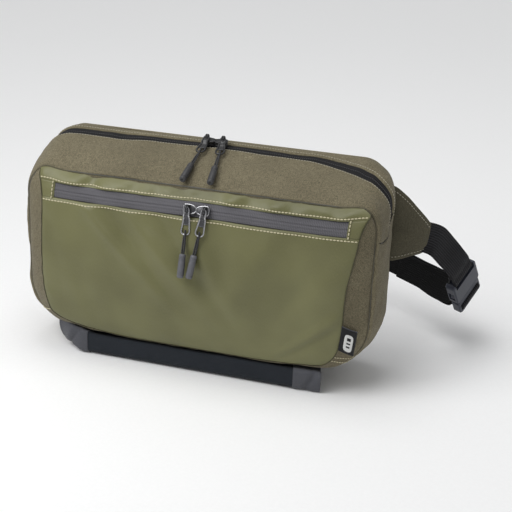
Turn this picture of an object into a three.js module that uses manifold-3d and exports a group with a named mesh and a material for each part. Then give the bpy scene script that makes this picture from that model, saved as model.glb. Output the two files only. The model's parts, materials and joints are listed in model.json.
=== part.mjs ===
import * as THREE from 'three';
import { mergeVertices } from 'three/addons/utils/BufferGeometryUtils.js';
import Module from 'manifold-3d';

// Waist bag with a main compartment, a front pocket, an open sleeve underneath and a belt
// with a side-release buckle. Millimetres, +X to the right seen from the front, front -Y, +Z up.

// ---- driving dimensions -------------------------------------------------------------------
const BODY_BOTTOM = 20;      // underside of the body, resting on the sleeve
const BACK_Y = 36;           // plane of the back panel's inner face
const BACK_W = 322;
const BACK_TOP = 203;
const MID_W = 346;           // widest part of the gusset
const SEAM_Y = -34;          // front edge of the gusset
const SEAM_W = 338;
const SEAM_TOP = 181;
const WALL = 1.8;            // gusset fabric with its foam
const CLOTH = 1.4;           // pocket fabric
const GAP = 0.3;             // clearance between touching pieces
const TOP_SPLIT_Z = 163;     // where the zipped top strips are joined to the lower gusset
const TOP_ZIP_Y = 24;         // the zip's line at the middle of the bag; it bends forwards at both ends
const TOP_ZIP_W = 10;
const PANEL_W = 291;
const PANEL_TOP = 179;
const FRONT_ZIP_Z = 161;
const FRONT_ZIP_H = 12.6;
const FRONT_ZIP_HALF = 141;
const SLEEVE_HALF = 129;     // half length of the sleeve with its cuffs
const SLEEVE_CLOTH_HALF = 104;
const WEB_W = 30;            // belt webbing
const WEB_T = 1.6;
const PAD_T = 9;             // back padding
const CORNER_STEPS = 7;

const group = new THREE.Group();
group.name = 'waist_bag';

// ---- helpers ------------------------------------------------------------------------------
function add(name, geometry, colour, roughness, metalness = 0) {
  const material = new THREE.MeshStandardMaterial({ color: colour, roughness, metalness });
  const mesh = new THREE.Mesh(geometry, material);
  mesh.name = name;
  group.add(mesh);
  return mesh;
}

const wasm = await Module();
wasm.setup();

function solid(geometry) {
  const g = geometry.clone();
  for (const key of Object.keys(g.attributes)) if (key !== 'position') g.deleteAttribute(key);
  const m = mergeVertices(g, 1e-5);
  const mesh = new wasm.Mesh({
    numProp: 3,
    vertProperties: new Float32Array(m.attributes.position.array),
    triVerts: new Uint32Array(m.index.array),
  });
  return new wasm.Manifold(mesh);
}

function geometryOf(manifold) {
  const mesh = manifold.getMesh();
  const g = new THREE.BufferGeometry();
  g.setAttribute('position', new THREE.BufferAttribute(new Float32Array(mesh.vertProperties), 3));
  g.setIndex(new THREE.BufferAttribute(new Uint32Array(mesh.triVerts), 1));
  g.computeVertexNormals();
  return g;
}

function block(x0, x1, y0, y1, z0, z1) {
  const g = new THREE.BoxGeometry(x1 - x0, y1 - y0, z1 - z0);
  g.translate((x0 + x1) / 2, (y0 + y1) / 2, (z0 + z1) / 2);
  return solid(g);
}

// A rounded block along its own X, with its vertical edges rounded by r in the XY plane.
function roundedPlate(lengthX, widthY, thickZ, r, bevel = 0) {
  const a = lengthX / 2 - bevel;
  const b = widthY / 2 - bevel;
  const s = new THREE.Shape();
  s.moveTo(-a + r, -b);
  s.lineTo(a - r, -b);
  s.absarc(a - r, -b + r, r, -Math.PI / 2, 0, false);
  s.lineTo(a, b - r);
  s.absarc(a - r, b - r, r, 0, Math.PI / 2, false);
  s.lineTo(-a + r, b);
  s.absarc(-a + r, b - r, r, Math.PI / 2, Math.PI, false);
  s.lineTo(-a, -b + r);
  s.absarc(-a + r, -b + r, r, Math.PI, 1.5 * Math.PI, false);
  const g = new THREE.ExtrudeGeometry(s, {
    depth: thickZ - 2 * bevel,
    bevelEnabled: bevel > 0,
    bevelSize: bevel,
    bevelThickness: bevel,
    bevelSegments: 1,
    curveSegments: 4,
  });
  g.translate(0, 0, -thickZ / 2 + bevel);
  return g;
}

// Closed outline in the XZ plane, clockwise from the top left corner seen from the front.
function outline(width, bottom, top, topRadius, bottomRadius) {
  const corners = [
    [-width / 2 + topRadius, top - topRadius, topRadius, 180],
    [width / 2 - topRadius, top - topRadius, topRadius, 90],
    [width / 2 - bottomRadius, bottom + bottomRadius, bottomRadius, 0],
    [-width / 2 + bottomRadius, bottom + bottomRadius, bottomRadius, -90],
  ];
  const ring = [];
  corners.forEach(([cx, cz, r, start], k) => {
    for (let i = 0; i <= CORNER_STEPS; i += 1) {
      const a = ((start - (90 * i) / CORNER_STEPS) * Math.PI) / 180;
      ring.push([cx + r * Math.cos(a), cz + r * Math.sin(a)]);
    }
    const next = corners[(k + 1) % 4];
    const end = ring[ring.length - 1];
    const b = (next[3] * Math.PI) / 180;
    const to = [next[0] + next[2] * Math.cos(b), next[1] + next[2] * Math.sin(b)];
    const steps = k % 2 === 0 ? 6 : 4;
    for (let i = 1; i < steps; i += 1) {
      ring.push([end[0] + ((to[0] - end[0]) * i) / steps, end[1] + ((to[1] - end[1]) * i) / steps]);
    }
  });
  return ring;
}

function fromTriangles(points, faces) {
  const g = new THREE.BufferGeometry();
  g.setAttribute('position', new THREE.BufferAttribute(new Float32Array(points.flat()), 3));
  g.setIndex(faces.flat());
  g.computeVertexNormals();
  return g;
}

function signedVolume(points, faces) {
  let v = 0;
  for (const [a, b, c] of faces) {
    const [p, q, r] = [points[a], points[b], points[c]];
    v += p[0] * (q[1] * r[2] - q[2] * r[1]) - p[1] * (q[0] * r[2] - q[2] * r[0])
      + p[2] * (q[0] * r[1] - q[1] * r[0]);
  }
  return v / 6;
}

function facingOut(points, faces) {
  if (signedVolume(points, faces) < 0) faces.forEach((f) => f.reverse());
  return fromTriangles(points, faces);
}

// Joins rings of equal length one after the other; wrap also joins the last ring to the first.
function skin(rings, wrap) {
  const n = rings[0].length;
  const points = rings.flat();
  const faces = [];
  const last = wrap ? rings.length : rings.length - 1;
  for (let k = 0; k < last; k += 1) {
    const k2 = (k + 1) % rings.length;
    for (let i = 0; i < n; i += 1) {
      const j = (i + 1) % n;
      const [a, b, c, d] = [k * n + i, k * n + j, k2 * n + j, k2 * n + i];
      faces.push([a, b, c], [a, c, d]);
    }
  }
  return { points, faces, n };
}

function lofted(rings) {
  const { points, faces, n } = skin(rings, false);
  for (const [k, flip] of [[0, false], [rings.length - 1, true]]) {
    const centre = [0, 1, 2].map((c) => rings[k].reduce((s, p) => s + p[c], 0) / n);
    points.push(centre);
    const hub = points.length - 1;
    for (let i = 0; i < n; i += 1) {
      const j = (i + 1) % n;
      faces.push(flip ? [hub, k * n + i, k * n + j] : [hub, k * n + j, k * n + i]);
    }
  }
  return facingOut(points, faces);
}

function tubular(outerRings, innerRings) {
  const { points, faces } = skin([...outerRings, ...innerRings.slice().reverse()], true);
  return facingOut(points, faces);
}

// ---- main body ----------------------------------------------------------------------------
// Stations of the gusset from back to front: depth, width, bottom, top, corner radii.
const STATIONS = [
  [BACK_Y - GAP, BACK_W, BODY_BOTTOM + 2, BACK_TOP, 24, 46],
  [30, BACK_W + 12, BODY_BOTTOM + 0.6, BACK_TOP - 0.4, 26, 48],
  [20, MID_W - 4, BODY_BOTTOM, BACK_TOP - 2.4, 28, 49],
  [6, MID_W, BODY_BOTTOM, BACK_TOP - 6.5, 29, 50],
  [-10, MID_W, BODY_BOTTOM, BACK_TOP - 12, 29, 50],
  [-24, MID_W - 4, BODY_BOTTOM, BACK_TOP - 17.5, 28, 49],
  [SEAM_Y, SEAM_W, BODY_BOTTOM + 0.6, SEAM_TOP, 26, 47],
];

function gussetRings(inset) {
  return STATIONS.map(([y, w, bottom, top, rt, rb]) => (
    outline(w - 2 * inset, bottom + inset, top - inset, rt - inset, rb - inset).map(([x, z]) => [x, y, z])
  ));
}

const FAR = 400;

// The zip's line over the top, as depth at a distance from the middle.
const ZIP_LINE = [[0, 24], [60, 22.6], [100, 20.5], [120, 17], [135, 12], [150, 5.5], [165, 1.5], [190, 3.5]];

// Everything between two offsets from the zip's line, above a height.
function zipBand(from, to, z0) {
  const line = [...ZIP_LINE.slice(1).reverse().map(([x, y]) => [-x, y]), ...ZIP_LINE];
  const edge = (offset) => line.map(([x, y]) => [x, Math.abs(offset) === FAR ? offset : y + offset]);
  const outlinePoints = [...edge(from), ...edge(to).reverse()].map(([x, y]) => new THREE.Vector2(x, y));
  const g = new THREE.ExtrudeGeometry(new THREE.Shape(outlinePoints), { depth: FAR, bevelEnabled: false });
  return solid(g.translate(0, 0, z0));
}

// Everything under the curved seam where the zipped top strips are sewn to the lower gusset.
function belowSeam(gap) {
  const line = [[-60, 149], [-34, 149], [-24, 146.5], [-14, 147], [-5, 152], [3, 160], [8, TOP_SPLIT_Z], [60, TOP_SPLIT_Z]];
  const points = [[-60, -10], ...line.map(([y, z]) => [y, z - gap]), [60, -10]].map(([y, z]) => new THREE.Vector2(y, z));
  const g = new THREE.ExtrudeGeometry(new THREE.Shape(points), { depth: 2 * FAR, bevelEnabled: false });
  g.applyMatrix4(new THREE.Matrix4().set(0, 0, 1, -FAR, 1, 0, 0, 0, 0, 1, 0, 0, 0, 0, 0, 1));
  return solid(g);
}

function gussetPieces() {
  const ring = solid(tubular(gussetRings(0), gussetRings(WALL)));
  const half = TOP_ZIP_W / 2;
  const upper = ring.subtract(belowSeam(0));
  return {
    lower: ring.intersect(belowSeam(GAP)),
    topFront: upper.intersect(zipBand(-FAR, -half, 0)),
    topRear: upper.intersect(zipBand(half, FAR, 0)),
  };
}

function topZipTape() {
  const ring = solid(tubular(gussetRings(0.5), gussetRings(1.5)));
  const half = TOP_ZIP_W / 2 - GAP;
  return ring.intersect(zipBand(-half, half, TOP_SPLIT_Z));
}

function topZipCoil() {
  const ring = solid(tubular(gussetRings(1.8), gussetRings(3.0)));
  return ring.intersect(zipBand(-2, 2, TOP_SPLIT_Z + 4));
}

function flatPanel(y0, y1, width, bottom, top, rt, rb) {
  const ring = outline(width, bottom, top, rt, rb);
  return lofted([ring.map(([x, z]) => [x, y0, z]), ring.map(([x, z]) => [x, y1, z])]);
}

function backPad() {
  const steps = [[0, 0], [0.55, 0.5], [0.9, 3.5], [1, 9]];
  const rings = steps.map(([depth, inset]) => outline(
    BACK_W - 34 - 2 * inset, BODY_BOTTOM + 22 + inset, BACK_TOP - 22 - inset, 30 - inset, 34 - inset,
  ).map(([x, z]) => [x, BACK_Y + WALL + GAP + PAD_T * depth, z]));
  return lofted(rings);
}

function loopTube(y, width, bottom, top, rt, rb, radius, sides) {
  const pts = outline(width, bottom, top, rt, rb).map(([x, z]) => new THREE.Vector3(x, y, z));
  const curve = new THREE.CatmullRomCurve3(pts, true, 'centripetal');
  return new THREE.TubeGeometry(curve, 80, radius, sides, true);
}

// ---- front pocket -------------------------------------------------------------------------
const POCKET_Y = SEAM_Y - 2.6;

// Outline of the pocket's front panel: wider towards its top, and a little more so to the right.
function panelOutline(inset) {
  const ring = outline(
    PANEL_W - 2 * inset, BODY_BOTTOM + 5.4 + inset, PANEL_TOP - 1 - inset, 12 - inset, 36 - inset,
  );
  return ring.map(([x, z]) => {
    const t = Math.min(1, Math.max(0, (z - 100) / 75));
    return [x * (1 + 0.028 * t * t) + 2.6 * t * t, z];
  });
}

// How far the pocket stands out at a height, and how much its front bulges at a share of the radius.
function pocketDepth(z) {
  const t = [[20, 9], [45, 15], [80, 17.5], [110, 16.5], [140, 12.8], [160, 8.4], [PANEL_TOP, 1.2]];
  for (let i = 1; i < t.length; i += 1) {
    if (z <= t[i][0]) {
      const f = (z - t[i - 1][0]) / (t[i][0] - t[i - 1][0]);
      return t[i - 1][1] + (t[i][1] - t[i - 1][1]) * Math.max(0, f);
    }
  }
  return t[t.length - 1][1];
}

function pocketBulge(share, z) {
  const fade = Math.min(1, Math.max(0, (PANEL_TOP - z) / 60));
  return (4.2 * (1 - share ** 2.2)) * (0.3 + 0.7 * fade);
}

function pocketGusset() {
  const rim = (inset) => outline(
    SEAM_W - 4.8 - 2 * inset, BODY_BOTTOM + 2.6 + inset, SEAM_TOP - 2.4 - inset, 24 - inset, 45 - inset,
  ).map(([x, z]) => [x, POCKET_Y, z]);
  const edge = (inset) => panelOutline(inset).map(([x, z]) => [x, POCKET_Y - pocketDepth(z) + 0.2, z]);
  const middle = (inset) => rim(inset).map((p, i) => {
    const q = edge(inset)[i];
    return [p[0] * 0.42 + q[0] * 0.58, p[1] * 0.5 + q[1] * 0.5, p[2] * 0.45 + q[2] * 0.55];
  });
  return tubular([rim(0), middle(0), edge(0)], [rim(CLOTH), middle(CLOTH), edge(CLOTH)]);
}

// A layer of the pocket's front: from behind to front of it, in mm ahead of the gusset's edge.
function pocketLayer(behind, front) {
  const rim = panelOutline(0);
  const cz = (BODY_BOTTOM + PANEL_TOP) / 2;
  const shares = [1, 0.93, 0.84, 0.7, 0.5, 0.25];
  const side = (ahead) => shares.map((s) => rim.map(([x, z]) => {
    const zz = cz + (z - cz) * s;
    return [x * s, POCKET_Y - pocketDepth(zz) - pocketBulge(s, zz) - ahead, zz];
  }));
  const a = side(behind);
  const b = side(front);
  const rings = [...a.slice().reverse(), ...b];
  return solid(lofted(rings));
}

function frontPieces() {
  const panel = pocketLayer(0.1, 0.1 + CLOTH);
  const z0 = FRONT_ZIP_Z - FRONT_ZIP_H / 2;
  const z1 = FRONT_ZIP_Z + FRONT_ZIP_H / 2;
  const inner = pocketLayer(-1.3, -0.2);
  const rear = pocketLayer(-3.0, -1.6);
  const h = FRONT_ZIP_HALF;
  const ends = (a, b) => panel.intersect(block(a, b, -FAR, FAR, z0 + GAP, z1 - GAP));
  const tape = inner.intersect(block(-h + 1, h - 1, -FAR, FAR, z0 - 2, z1 + 2));
  return {
    upper: panel.intersect(block(-FAR, FAR, -FAR, FAR, z1, FAR)),
    lower: panel.intersect(block(-FAR, FAR, -FAR, FAR, -FAR, z0)),
    tape,
    coil: rear.intersect(block(-h, h, -FAR, FAR, FRONT_ZIP_Z - 2.4, FRONT_ZIP_Z + 2.4)),
    leftEnd: ends(-FAR, -h + 3),
    rightEnd: ends(h - 3, FAR),
  };
}

function pocketFrontY(z, x = 0) {
  const cz = (BODY_BOTTOM + PANEL_TOP) / 2;
  const share = Math.max(Math.abs(z - cz) / ((PANEL_TOP - BODY_BOTTOM) / 2), Math.abs(x) / (PANEL_W / 2));
  return POCKET_Y - pocketDepth(z) - pocketBulge(Math.min(1, share), z) - 0.1 - CLOTH;
}

// ---- sleeve under the body ----------------------------------------------------------------
const SLEEVE_Y0 = -50;
const SLEEVE_Y1 = 24;
const SLEEVE_TOP = BODY_BOTTOM - 1.2;
const SLEEVE_WALL = 1.8;

function sleeveSection(inset, lower = 0) {
  const y0 = SLEEVE_Y0 + inset;
  const y1 = SLEEVE_Y1 - inset;
  const z0 = inset + lower;
  const z1 = SLEEVE_TOP - inset;
  const r = 6 - inset;
  const ring = [];
  for (const [cy, cz, a0] of [[y1 - r, z1 - r, 0], [y0 + r, z1 - r, 90], [y0 + r, z0 + r, 180], [y1 - r, z0 + r, 270]]) {
    for (let i = 0; i <= 4; i += 1) {
      const a = ((a0 + (90 * i) / 4) * Math.PI) / 180;
      ring.push([cy + r * Math.cos(a), cz + r * Math.sin(a)]);
    }
    if (a0 === 0) ring.push([-38.5, z1]);
  }
  // the front of the tube's upper side reaches up to the bottom of the pocket
  return ring.map(([y, z]) => [y, z + (z / SLEEVE_TOP) * 6.5 * Math.min(1, Math.max(0, (-38.5 - y) / 11.5))]);
}

function sleevePiece(x0, x1, flare = 0) {
  const at = (x, inset) => sleeveSection(inset).map(([y, z]) => [x, y, z]);
  const xs = [x0, x1];
  return tubular(xs.map((x) => at(x, flare)), xs.map((x) => at(x, flare + SLEEVE_WALL)));
}

// ---- zip sliders with pullers -------------------------------------------------------------
// Own frame: the zip runs along X, the tape's outer face is the XY plane, +Z points away from it
// and the puller hangs towards -Y.
const SLIDER_L = 11.4;
const SLIDER_H = 4.6;
const BRIDGE_Z = 7.4;        // height of the puller's hinge axis over the tape

function sliderBody() {
  const base = solid(roundedPlate(SLIDER_L, 8.6, SLIDER_H, 2.6, 0.7).translate(0, 0, SLIDER_H / 2));
  const bridge = block(-1.5, 1.5, -3.4, 3.4, SLIDER_H - 0.5, BRIDGE_Z + 2.4);
  const hole = block(-3, 3, -2.2, 2.2, SLIDER_H + 0.1, BRIDGE_Z + 1.4);
  return base.add(bridge).subtract(hole);
}

function moved(manifoldOrGeometry, matrix) {
  const g = manifoldOrGeometry.isBufferGeometry ? manifoldOrGeometry.clone() : geometryOf(manifoldOrGeometry);
  g.applyMatrix4(matrix);
  return g;
}

// The puller: a tapered plate with an eye over the slider's bridge and a hole near its lower end,
// stepped down from the bridge towards the cloth.
function pullerPlate(length, drop) {
  const s = new THREE.Shape();
  const half = [[3.9, 0.8], [4.2, 0], [4.1, -2.5], [3.4, -length + 4], [2.9, -length + 1.6], [1.5, -length + 0.3]];
  half.forEach(([x, y], i) => (i ? s.lineTo(x, y) : s.moveTo(x, y)));
  half.slice().reverse().forEach(([x, y]) => s.lineTo(-x, y));
  const g = new THREE.ExtrudeGeometry(s, { depth: 1.4, bevelEnabled: false }).translate(0, 0, -0.7);
  const upper = solid(g).subtract(block(-FAR, FAR, -FAR, -8, -FAR, FAR));
  const lower = solid(g.clone().translate(0, 0, -drop)).subtract(block(-FAR, FAR, -7, FAR, -FAR, FAR));
  const web = block(-3.8, 3.8, -8.2, -6.8, -drop - 0.7, 0.7);
  const eye = block(-2.2, 2.2, -5.2, -0.8, -FAR, FAR);
  const hole = solid(new THREE.CylinderGeometry(1.8, 1.8, 20, 12).rotateX(Math.PI / 2).translate(0, -length + 4.2, 0));
  return upper.add(lower).add(web).subtract(eye).subtract(hole);
}

function cordLoop(length, plateLength, z) {
  // Doubled cord through the puller's lower hole, its two legs side by side into the grip.
  const top = -plateLength + 2.6;
  const end = top - length;
  const pts = [
    [0.9, end, z], [0.9, end + length * 0.45, z], [0.95, top - 3.0, z + 1.4], [0.8, top - 0.8, z + 2.1],
    [0, top + 1.7, z + 0.2], [-0.8, top - 0.8, z - 2.1], [-0.95, top - 3.0, z - 1.4],
    [-0.9, end + length * 0.45, z], [-0.9, end, z],
  ].map((p) => new THREE.Vector3(...p));
  return pts;
}

function sweep(points, radius, steps, sides) {
  const curve = new THREE.CatmullRomCurve3(points, false, 'centripetal');
  const shape = new THREE.Shape();
  for (let i = 0; i < sides; i += 1) {
    const a = (2 * Math.PI * i) / sides;
    if (i === 0) shape.moveTo(radius, 0);
    else shape.lineTo(radius * Math.cos(a), radius * Math.sin(a));
  }
  shape.closePath();
  return new THREE.ExtrudeGeometry(shape, { steps, bevelEnabled: false, extrudePath: curve });
}

function gripShape(length) {
  const r = 3.2;
  const profile = [[0, 0], [2.2, 0], [3.0, 0.5], [r, 1.4], [r, length - 1.8], [2.7, length - 0.5], [1.9, length], [0, length]];
  const g = new THREE.LatheGeometry(profile.map(([x, y]) => new THREE.Vector2(x, y)), 14);
  return g;
}

function pullAssembly(tag, matrix, o) {
  const metal = o.dark ? 0x1b1b1d : 0x9b9ca0;
  add(`${tag}_slider`, moved(sliderBody(), matrix), metal, o.dark ? 0.5 : 0.3, o.dark ? 0.3 : 1);
  const swing = matrix.clone()
    .multiply(new THREE.Matrix4().makeTranslation(0, 0, BRIDGE_Z))
    .multiply(new THREE.Matrix4().makeRotationX(o.fall))
    .multiply(new THREE.Matrix4().makeRotationZ(o.lean));
  add(`${tag}_puller`, moved(pullerPlate(o.plate, o.drop), swing), metal, o.dark ? 0.5 : 0.35, o.dark ? 0.3 : 1);
  const z = -o.drop;
  const cord = sweep(cordLoop(o.cord, o.plate, z), 0.8, 26, 6);
  add(`${tag}_cord`, moved(cord, swing), 0x2b2c2f, 0.9);
  const grip = gripShape(o.grip);
  grip.rotateX(Math.PI);
  grip.translate(0, -o.plate + 2.6 - o.cord - GAP, z);
  add(`${tag}_grip`, moved(grip, swing), 0x4b4b50, 0.7);
}

function frameAt(origin, along, outward) {
  const x = new THREE.Vector3(...along).normalize();
  const z = new THREE.Vector3(...outward);
  z.addScaledVector(x, -z.dot(x)).normalize();
  const y = new THREE.Vector3().crossVectors(z, x);
  return new THREE.Matrix4().makeBasis(x, y, z).setPosition(...origin);
}

// ---- belt ---------------------------------------------------------------------------------
// A strip with a flat section swept along points. Its width turns from one direction to another
// over the first stretch of its length.
function strip(points, upStart, upEnd, turnOver, width, thick, divisions) {
  const curve = new THREE.CatmullRomCurve3(points.map((p) => new THREE.Vector3(...p)), false, 'centripetal');
  curve.arcLengthDivisions = 600;
  const rings = [];
  for (let i = 0; i <= divisions; i += 1) {
    const c = curve.getPointAt(i / divisions);
    const t = curve.getTangentAt(i / divisions);
    const f = Math.min(1, ((i / divisions) * curve.getLength()) / turnOver);
    const up = new THREE.Vector3(...upStart).lerp(new THREE.Vector3(...upEnd), f);
    up.addScaledVector(t, -up.dot(t)).normalize();
    const n = new THREE.Vector3().crossVectors(t, up);
    rings.push([[1, 1], [-1, 1], [-1, -1], [1, -1]].map(([a, b]) => {
      const p = c.clone().addScaledVector(up, (a * width) / 2).addScaledVector(n, (b * thick) / 2);
      return [p.x, p.y, p.z];
    }));
  }
  return lofted(rings);
}

// A wing: padded cloth tapering from the bag's back edge to the webbing. side is +1 right, -1 left.
function wing(side) {
  const steps = [
    [163, 38.6, 143, 76, 1.6, 0], [168, 41.4, 141, 74, 6, 0], [177, 46, 137, 65, 8, 1], [187, 51.5, 132.5, 52, 8, 2],
    [195.5, 57, 128, 40, 7, 3.5], [201, 61, 125, 33, 4, 5],
  ];
  const rings = steps.map(([x, y, z, height, thick, lean]) => {
    const n = [0.42, -0.9];
    const ring = [];
    for (const [a, b] of [[1, 0.25], [0.8, 1], [-0.8, 1], [-1, 0.25], [-1, -0.25], [-0.8, -1], [0.8, -1], [1, -0.25]]) {
      ring.push([side * (x + a * lean + (n[0] * b * thick) / 2), y + (n[1] * b * thick) / 2, z + (a * height) / 2]);
    }
    return ring;
  });
  return lofted(rings);
}

// Side-release buckle. Own frame: +X runs from the fixed webbing towards the loose end, Y across
// the belt, Z through its thickness.
const BUCKLE_W = 39;
const BUCKLE_T = 11;
const FEMALE_L = 29;
const MALE_L = 19;
const MOUTH = FEMALE_L;      // plane of the female half's mouth

function buckleFemale() {
  const body = solid(roundedPlate(FEMALE_L, BUCKLE_W, BUCKLE_T, 3, 1.2).translate(FEMALE_L / 2, 0, 0));
  const cavity = block(8.5, FEMALE_L + 2, -15.5, 15.5, -3.1, 3.1);
  const windows = block(12, 22.5, -FAR, FAR, -3.3, 3.3);
  const slot = block(2.8, 6.8, -15.8, 15.8, -FAR, FAR);
  const over = block(-1, 6.6, -15.8, 15.8, 2.4, FAR);
  const under = block(-1, 6.6, -15.8, 15.8, -FAR, -2.4);
  return body.subtract(cavity).subtract(windows).subtract(slot).subtract(over).subtract(under);
}

function buckleMale() {
  const x0 = MOUTH + 0.5;
  const base = solid(roundedPlate(MALE_L, BUCKLE_W - 2, 9, 3, 1).translate(x0 + MALE_L / 2, 0, 0));
  const slot = block(x0 + 6.5, x0 + 9.5, -15.6, 15.6, -FAR, FAR);
  const slot2 = block(x0 + 12.2, x0 + 15.2, -15.6, 15.6, -FAR, FAR);
  const tongue = block(9.5, x0 + 1, -2.6, 2.6, -2.4, 2.4);
  return base.add(tongue).subtract(slot).subtract(slot2);
}

function buckleProng(side) {
  const s = new THREE.Shape();
  s.moveTo(MOUTH + 0.2, side * 9);
  s.lineTo(MOUTH + 0.2, side * 13);
  s.lineTo(22.0, side * 15.1);
  s.lineTo(21.6, side * 18.6);
  s.quadraticCurveTo(16, side * 18.4, 12.6, side * 14);
  s.lineTo(11.6, side * 10.4);
  s.quadraticCurveTo(16, side * 13.6, 19.5, side * 12);
  s.closePath();
  const g = new THREE.ExtrudeGeometry(s, { depth: 5, bevelEnabled: false, curveSegments: 5 });
  g.translate(0, 0, -2.5);
  return g;
}

// ---- build --------------------------------------------------------------------------------
const CANVAS = 0x7c7560;
const OLIVE = 0x6f6d52;
const BLACK = 0x26262a;

const gusset = gussetPieces();
add('gusset_lower', geometryOf(gusset.lower), CANVAS, 0.95);
add('gusset_top_front', geometryOf(gusset.topFront), CANVAS, 0.95);
add('gusset_top_rear', geometryOf(gusset.topRear), CANVAS, 0.95);
add('top_zip_tape', geometryOf(topZipTape()), 0x26252a, 0.85);
add('top_zip_coil', geometryOf(topZipCoil()), 0x1d1d20, 0.6);

const back = flatPanel(BACK_Y, BACK_Y + WALL, BACK_W, BODY_BOTTOM + 2, BACK_TOP, 24, 46);
add('back_panel', back, CANVAS, 0.95);
add('back_pad', backPad(), 0x2c2c2f, 0.95);
const divider = flatPanel(SEAM_Y - 2.2, SEAM_Y - 0.4, SEAM_W - 5, BODY_BOTTOM + 3.1, SEAM_TOP - 2.5, 23.5, 44.5);
add('divider_wall', divider, 0x55534a, 0.9);
add('front_piping', loopTube(SEAM_Y - 2.1, SEAM_W - 0.6, BODY_BOTTOM + 0.9, SEAM_TOP - 0.3, 25.7, 46.7, 1.7, 6), CANVAS, 0.95);

add('pocket_gusset', pocketGusset(), CANVAS, 0.95);
const front = frontPieces();
add('front_panel_upper', geometryOf(front.upper), OLIVE, 0.55);
add('front_panel_lower', geometryOf(front.lower), OLIVE, 0.55);
add('front_zip_tape', geometryOf(front.tape), 0x5a595d, 0.7);
add('front_zip_coil', geometryOf(front.coil), 0x4a494d, 0.6);
add('front_zip_end_left', geometryOf(front.leftEnd), OLIVE, 0.55);
add('front_zip_end_right', geometryOf(front.rightEnd), OLIVE, 0.55);

add('bottom_sleeve', sleevePiece(-SLEEVE_CLOTH_HALF, SLEEVE_CLOTH_HALF), 0x2c3036, 0.85);
add('sleeve_cuff_left', sleevePiece(-SLEEVE_HALF, -SLEEVE_CLOTH_HALF - GAP), 0x515257, 0.6);
add('sleeve_cuff_right', sleevePiece(SLEEVE_CLOTH_HALF + GAP, SLEEVE_HALF), 0x515257, 0.6);

const frontTapeY = (z) => pocketFrontY(z) + CLOTH + 0.1 + 0.2;
const rise = (frontTapeY(FRONT_ZIP_Z + 4) - frontTapeY(FRONT_ZIP_Z - 4)) / 8;
const frontOut = [0, -1, rise];
const FRONT_HANG = 0.285;     // how far from plumb the front pullers rest against the pocket
const TOP_HANG = 0.34;       // how far the top pullers dip below level
for (const [tag, x, lean] of [['front_left', -0.4, -0.04], ['front_right', 12.6, -0.1]]) {
  const m = frameAt([x, frontTapeY(FRONT_ZIP_Z) - 0.5, FRONT_ZIP_Z], [1, 0, 0], frontOut);
  pullAssembly(tag, m, { plate: 24, cord: 19, grip: 22, drop: 2.4, fall: Math.atan(rise) - FRONT_HANG, lean, dark: false });
}
for (const [tag, x, lean] of [['top_left', -8.2, 0.08], ['top_right', 4.2, 0.12]]) {
  const m = frameAt([x, TOP_ZIP_Y, BACK_TOP - 1.3], [1, 0, 0], [0, -0.2, 1]);
  pullAssembly(tag, m, { plate: 19, cord: 17, grip: 20, drop: 2.4, fall: TOP_HANG - Math.atan(0.2), lean, dark: true });
}

add('wing_right', wing(1), CANVAS, 0.95);
add('wing_left', wing(-1), CANVAS, 0.95);

const BUCKLE_AT = [229.8, 87.4, 83.5];
const BUCKLE_DIR = [0.156, 0.594, -0.789];
const BUCKLE_OUT = [0.913, -0.392, -0.115];
const buckle = frameAt(BUCKLE_AT, BUCKLE_DIR, BUCKLE_OUT);
add('buckle_female', moved(buckleFemale(), buckle), 0x4d5058, 0.45);
add('buckle_male', moved(buckleMale(), buckle), 0x4d5058, 0.45);
add('buckle_prong_upper', moved(buckleProng(1), buckle), 0x4d5058, 0.45);
add('buckle_prong_lower', moved(buckleProng(-1), buckle), 0x4d5058, 0.45);

const local = (x, z) => new THREE.Vector3(x, 0, z).applyMatrix4(buckle).toArray();
const across = new THREE.Vector3(0, 1, 0).transformDirection(buckle).toArray();

const PLUMB = [0, 0, 1];

// From the wing to the buckle, round the female half's bar and back, sewn to itself.
function beltRight() {
  const path = [
    [203.4, 62.4, 124], [207.6, 65, 121.8], [216.5, 74, 108.5], local(-11, 1.6), local(-4, 2.2), local(-0.5, 3.6),
    local(1.6, 3.9), local(3.9, 3.4), local(4.8, 1.4), local(4.8, -1.4), local(3.9, -3.4), local(1.6, -3.9),
    local(-0.5, -3.6), local(-4, -2.2), local(-11, -1.3),
  ];
  return strip(path, PLUMB, across, 38, WEB_W, WEB_T, 46);
}

// Over the male half's middle bar, in through one slot and out through the other.
const SLOT_A = MOUTH + 8.5;
const SLOT_B = MOUTH + 14.2;

function beltMaleLoop() {
  const [a, b] = [SLOT_A, SLOT_B];
  const path = [
    local(b, -6.6), local(b, -3), local(b, 2.6), local(b - 0.3, 4.6), local(b - 1.5, 5.6),
    local(a + 1.5, 5.6), local(a + 0.3, 4.6), local(a, 2.6), local(a, -3), local(a, -6.6),
  ];
  return strip(path, across, across, 1, WEB_W, WEB_T, 26);
}

// From the buckle's loose half behind the bag to the left wing.
const LOOP_BACK = [
  [224, 121, 47.5], [208, 131, 49.5], [188, 140.5, 54], [150, 155, 61], [80, 170, 72], [0, 175, 82],
  [-80, 165, 95], [-140, 132, 108], [-182, 85, 118], [-203.4, 62.4, 124],
];

function beltLeft() {
  return strip([local(SLOT_B, -7.6), local(SLOT_B, -9), ...LOOP_BACK], across, PLUMB, 50, WEB_W, WEB_T, 50);
}

// The loose end lies along the inside of the belt.
function beltTail() {
  const offsets = [[-1.6, -4.2, 4.0], [-2.4, -4.2, 1.6], [-1.9, -3.6, 0.4], [-1.6, -3.2, 0]];
  const beside = [...LOOP_BACK.slice(0, 3), [163, 150.3, 58.7]]
    .map((p, i) => p.map((v, k) => v + offsets[i][k]));
  return strip([local(SLOT_A, -7.6), local(SLOT_A, -9), ...beside], across, PLUMB, 50, WEB_W - 1, WEB_T, 18);
}

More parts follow.
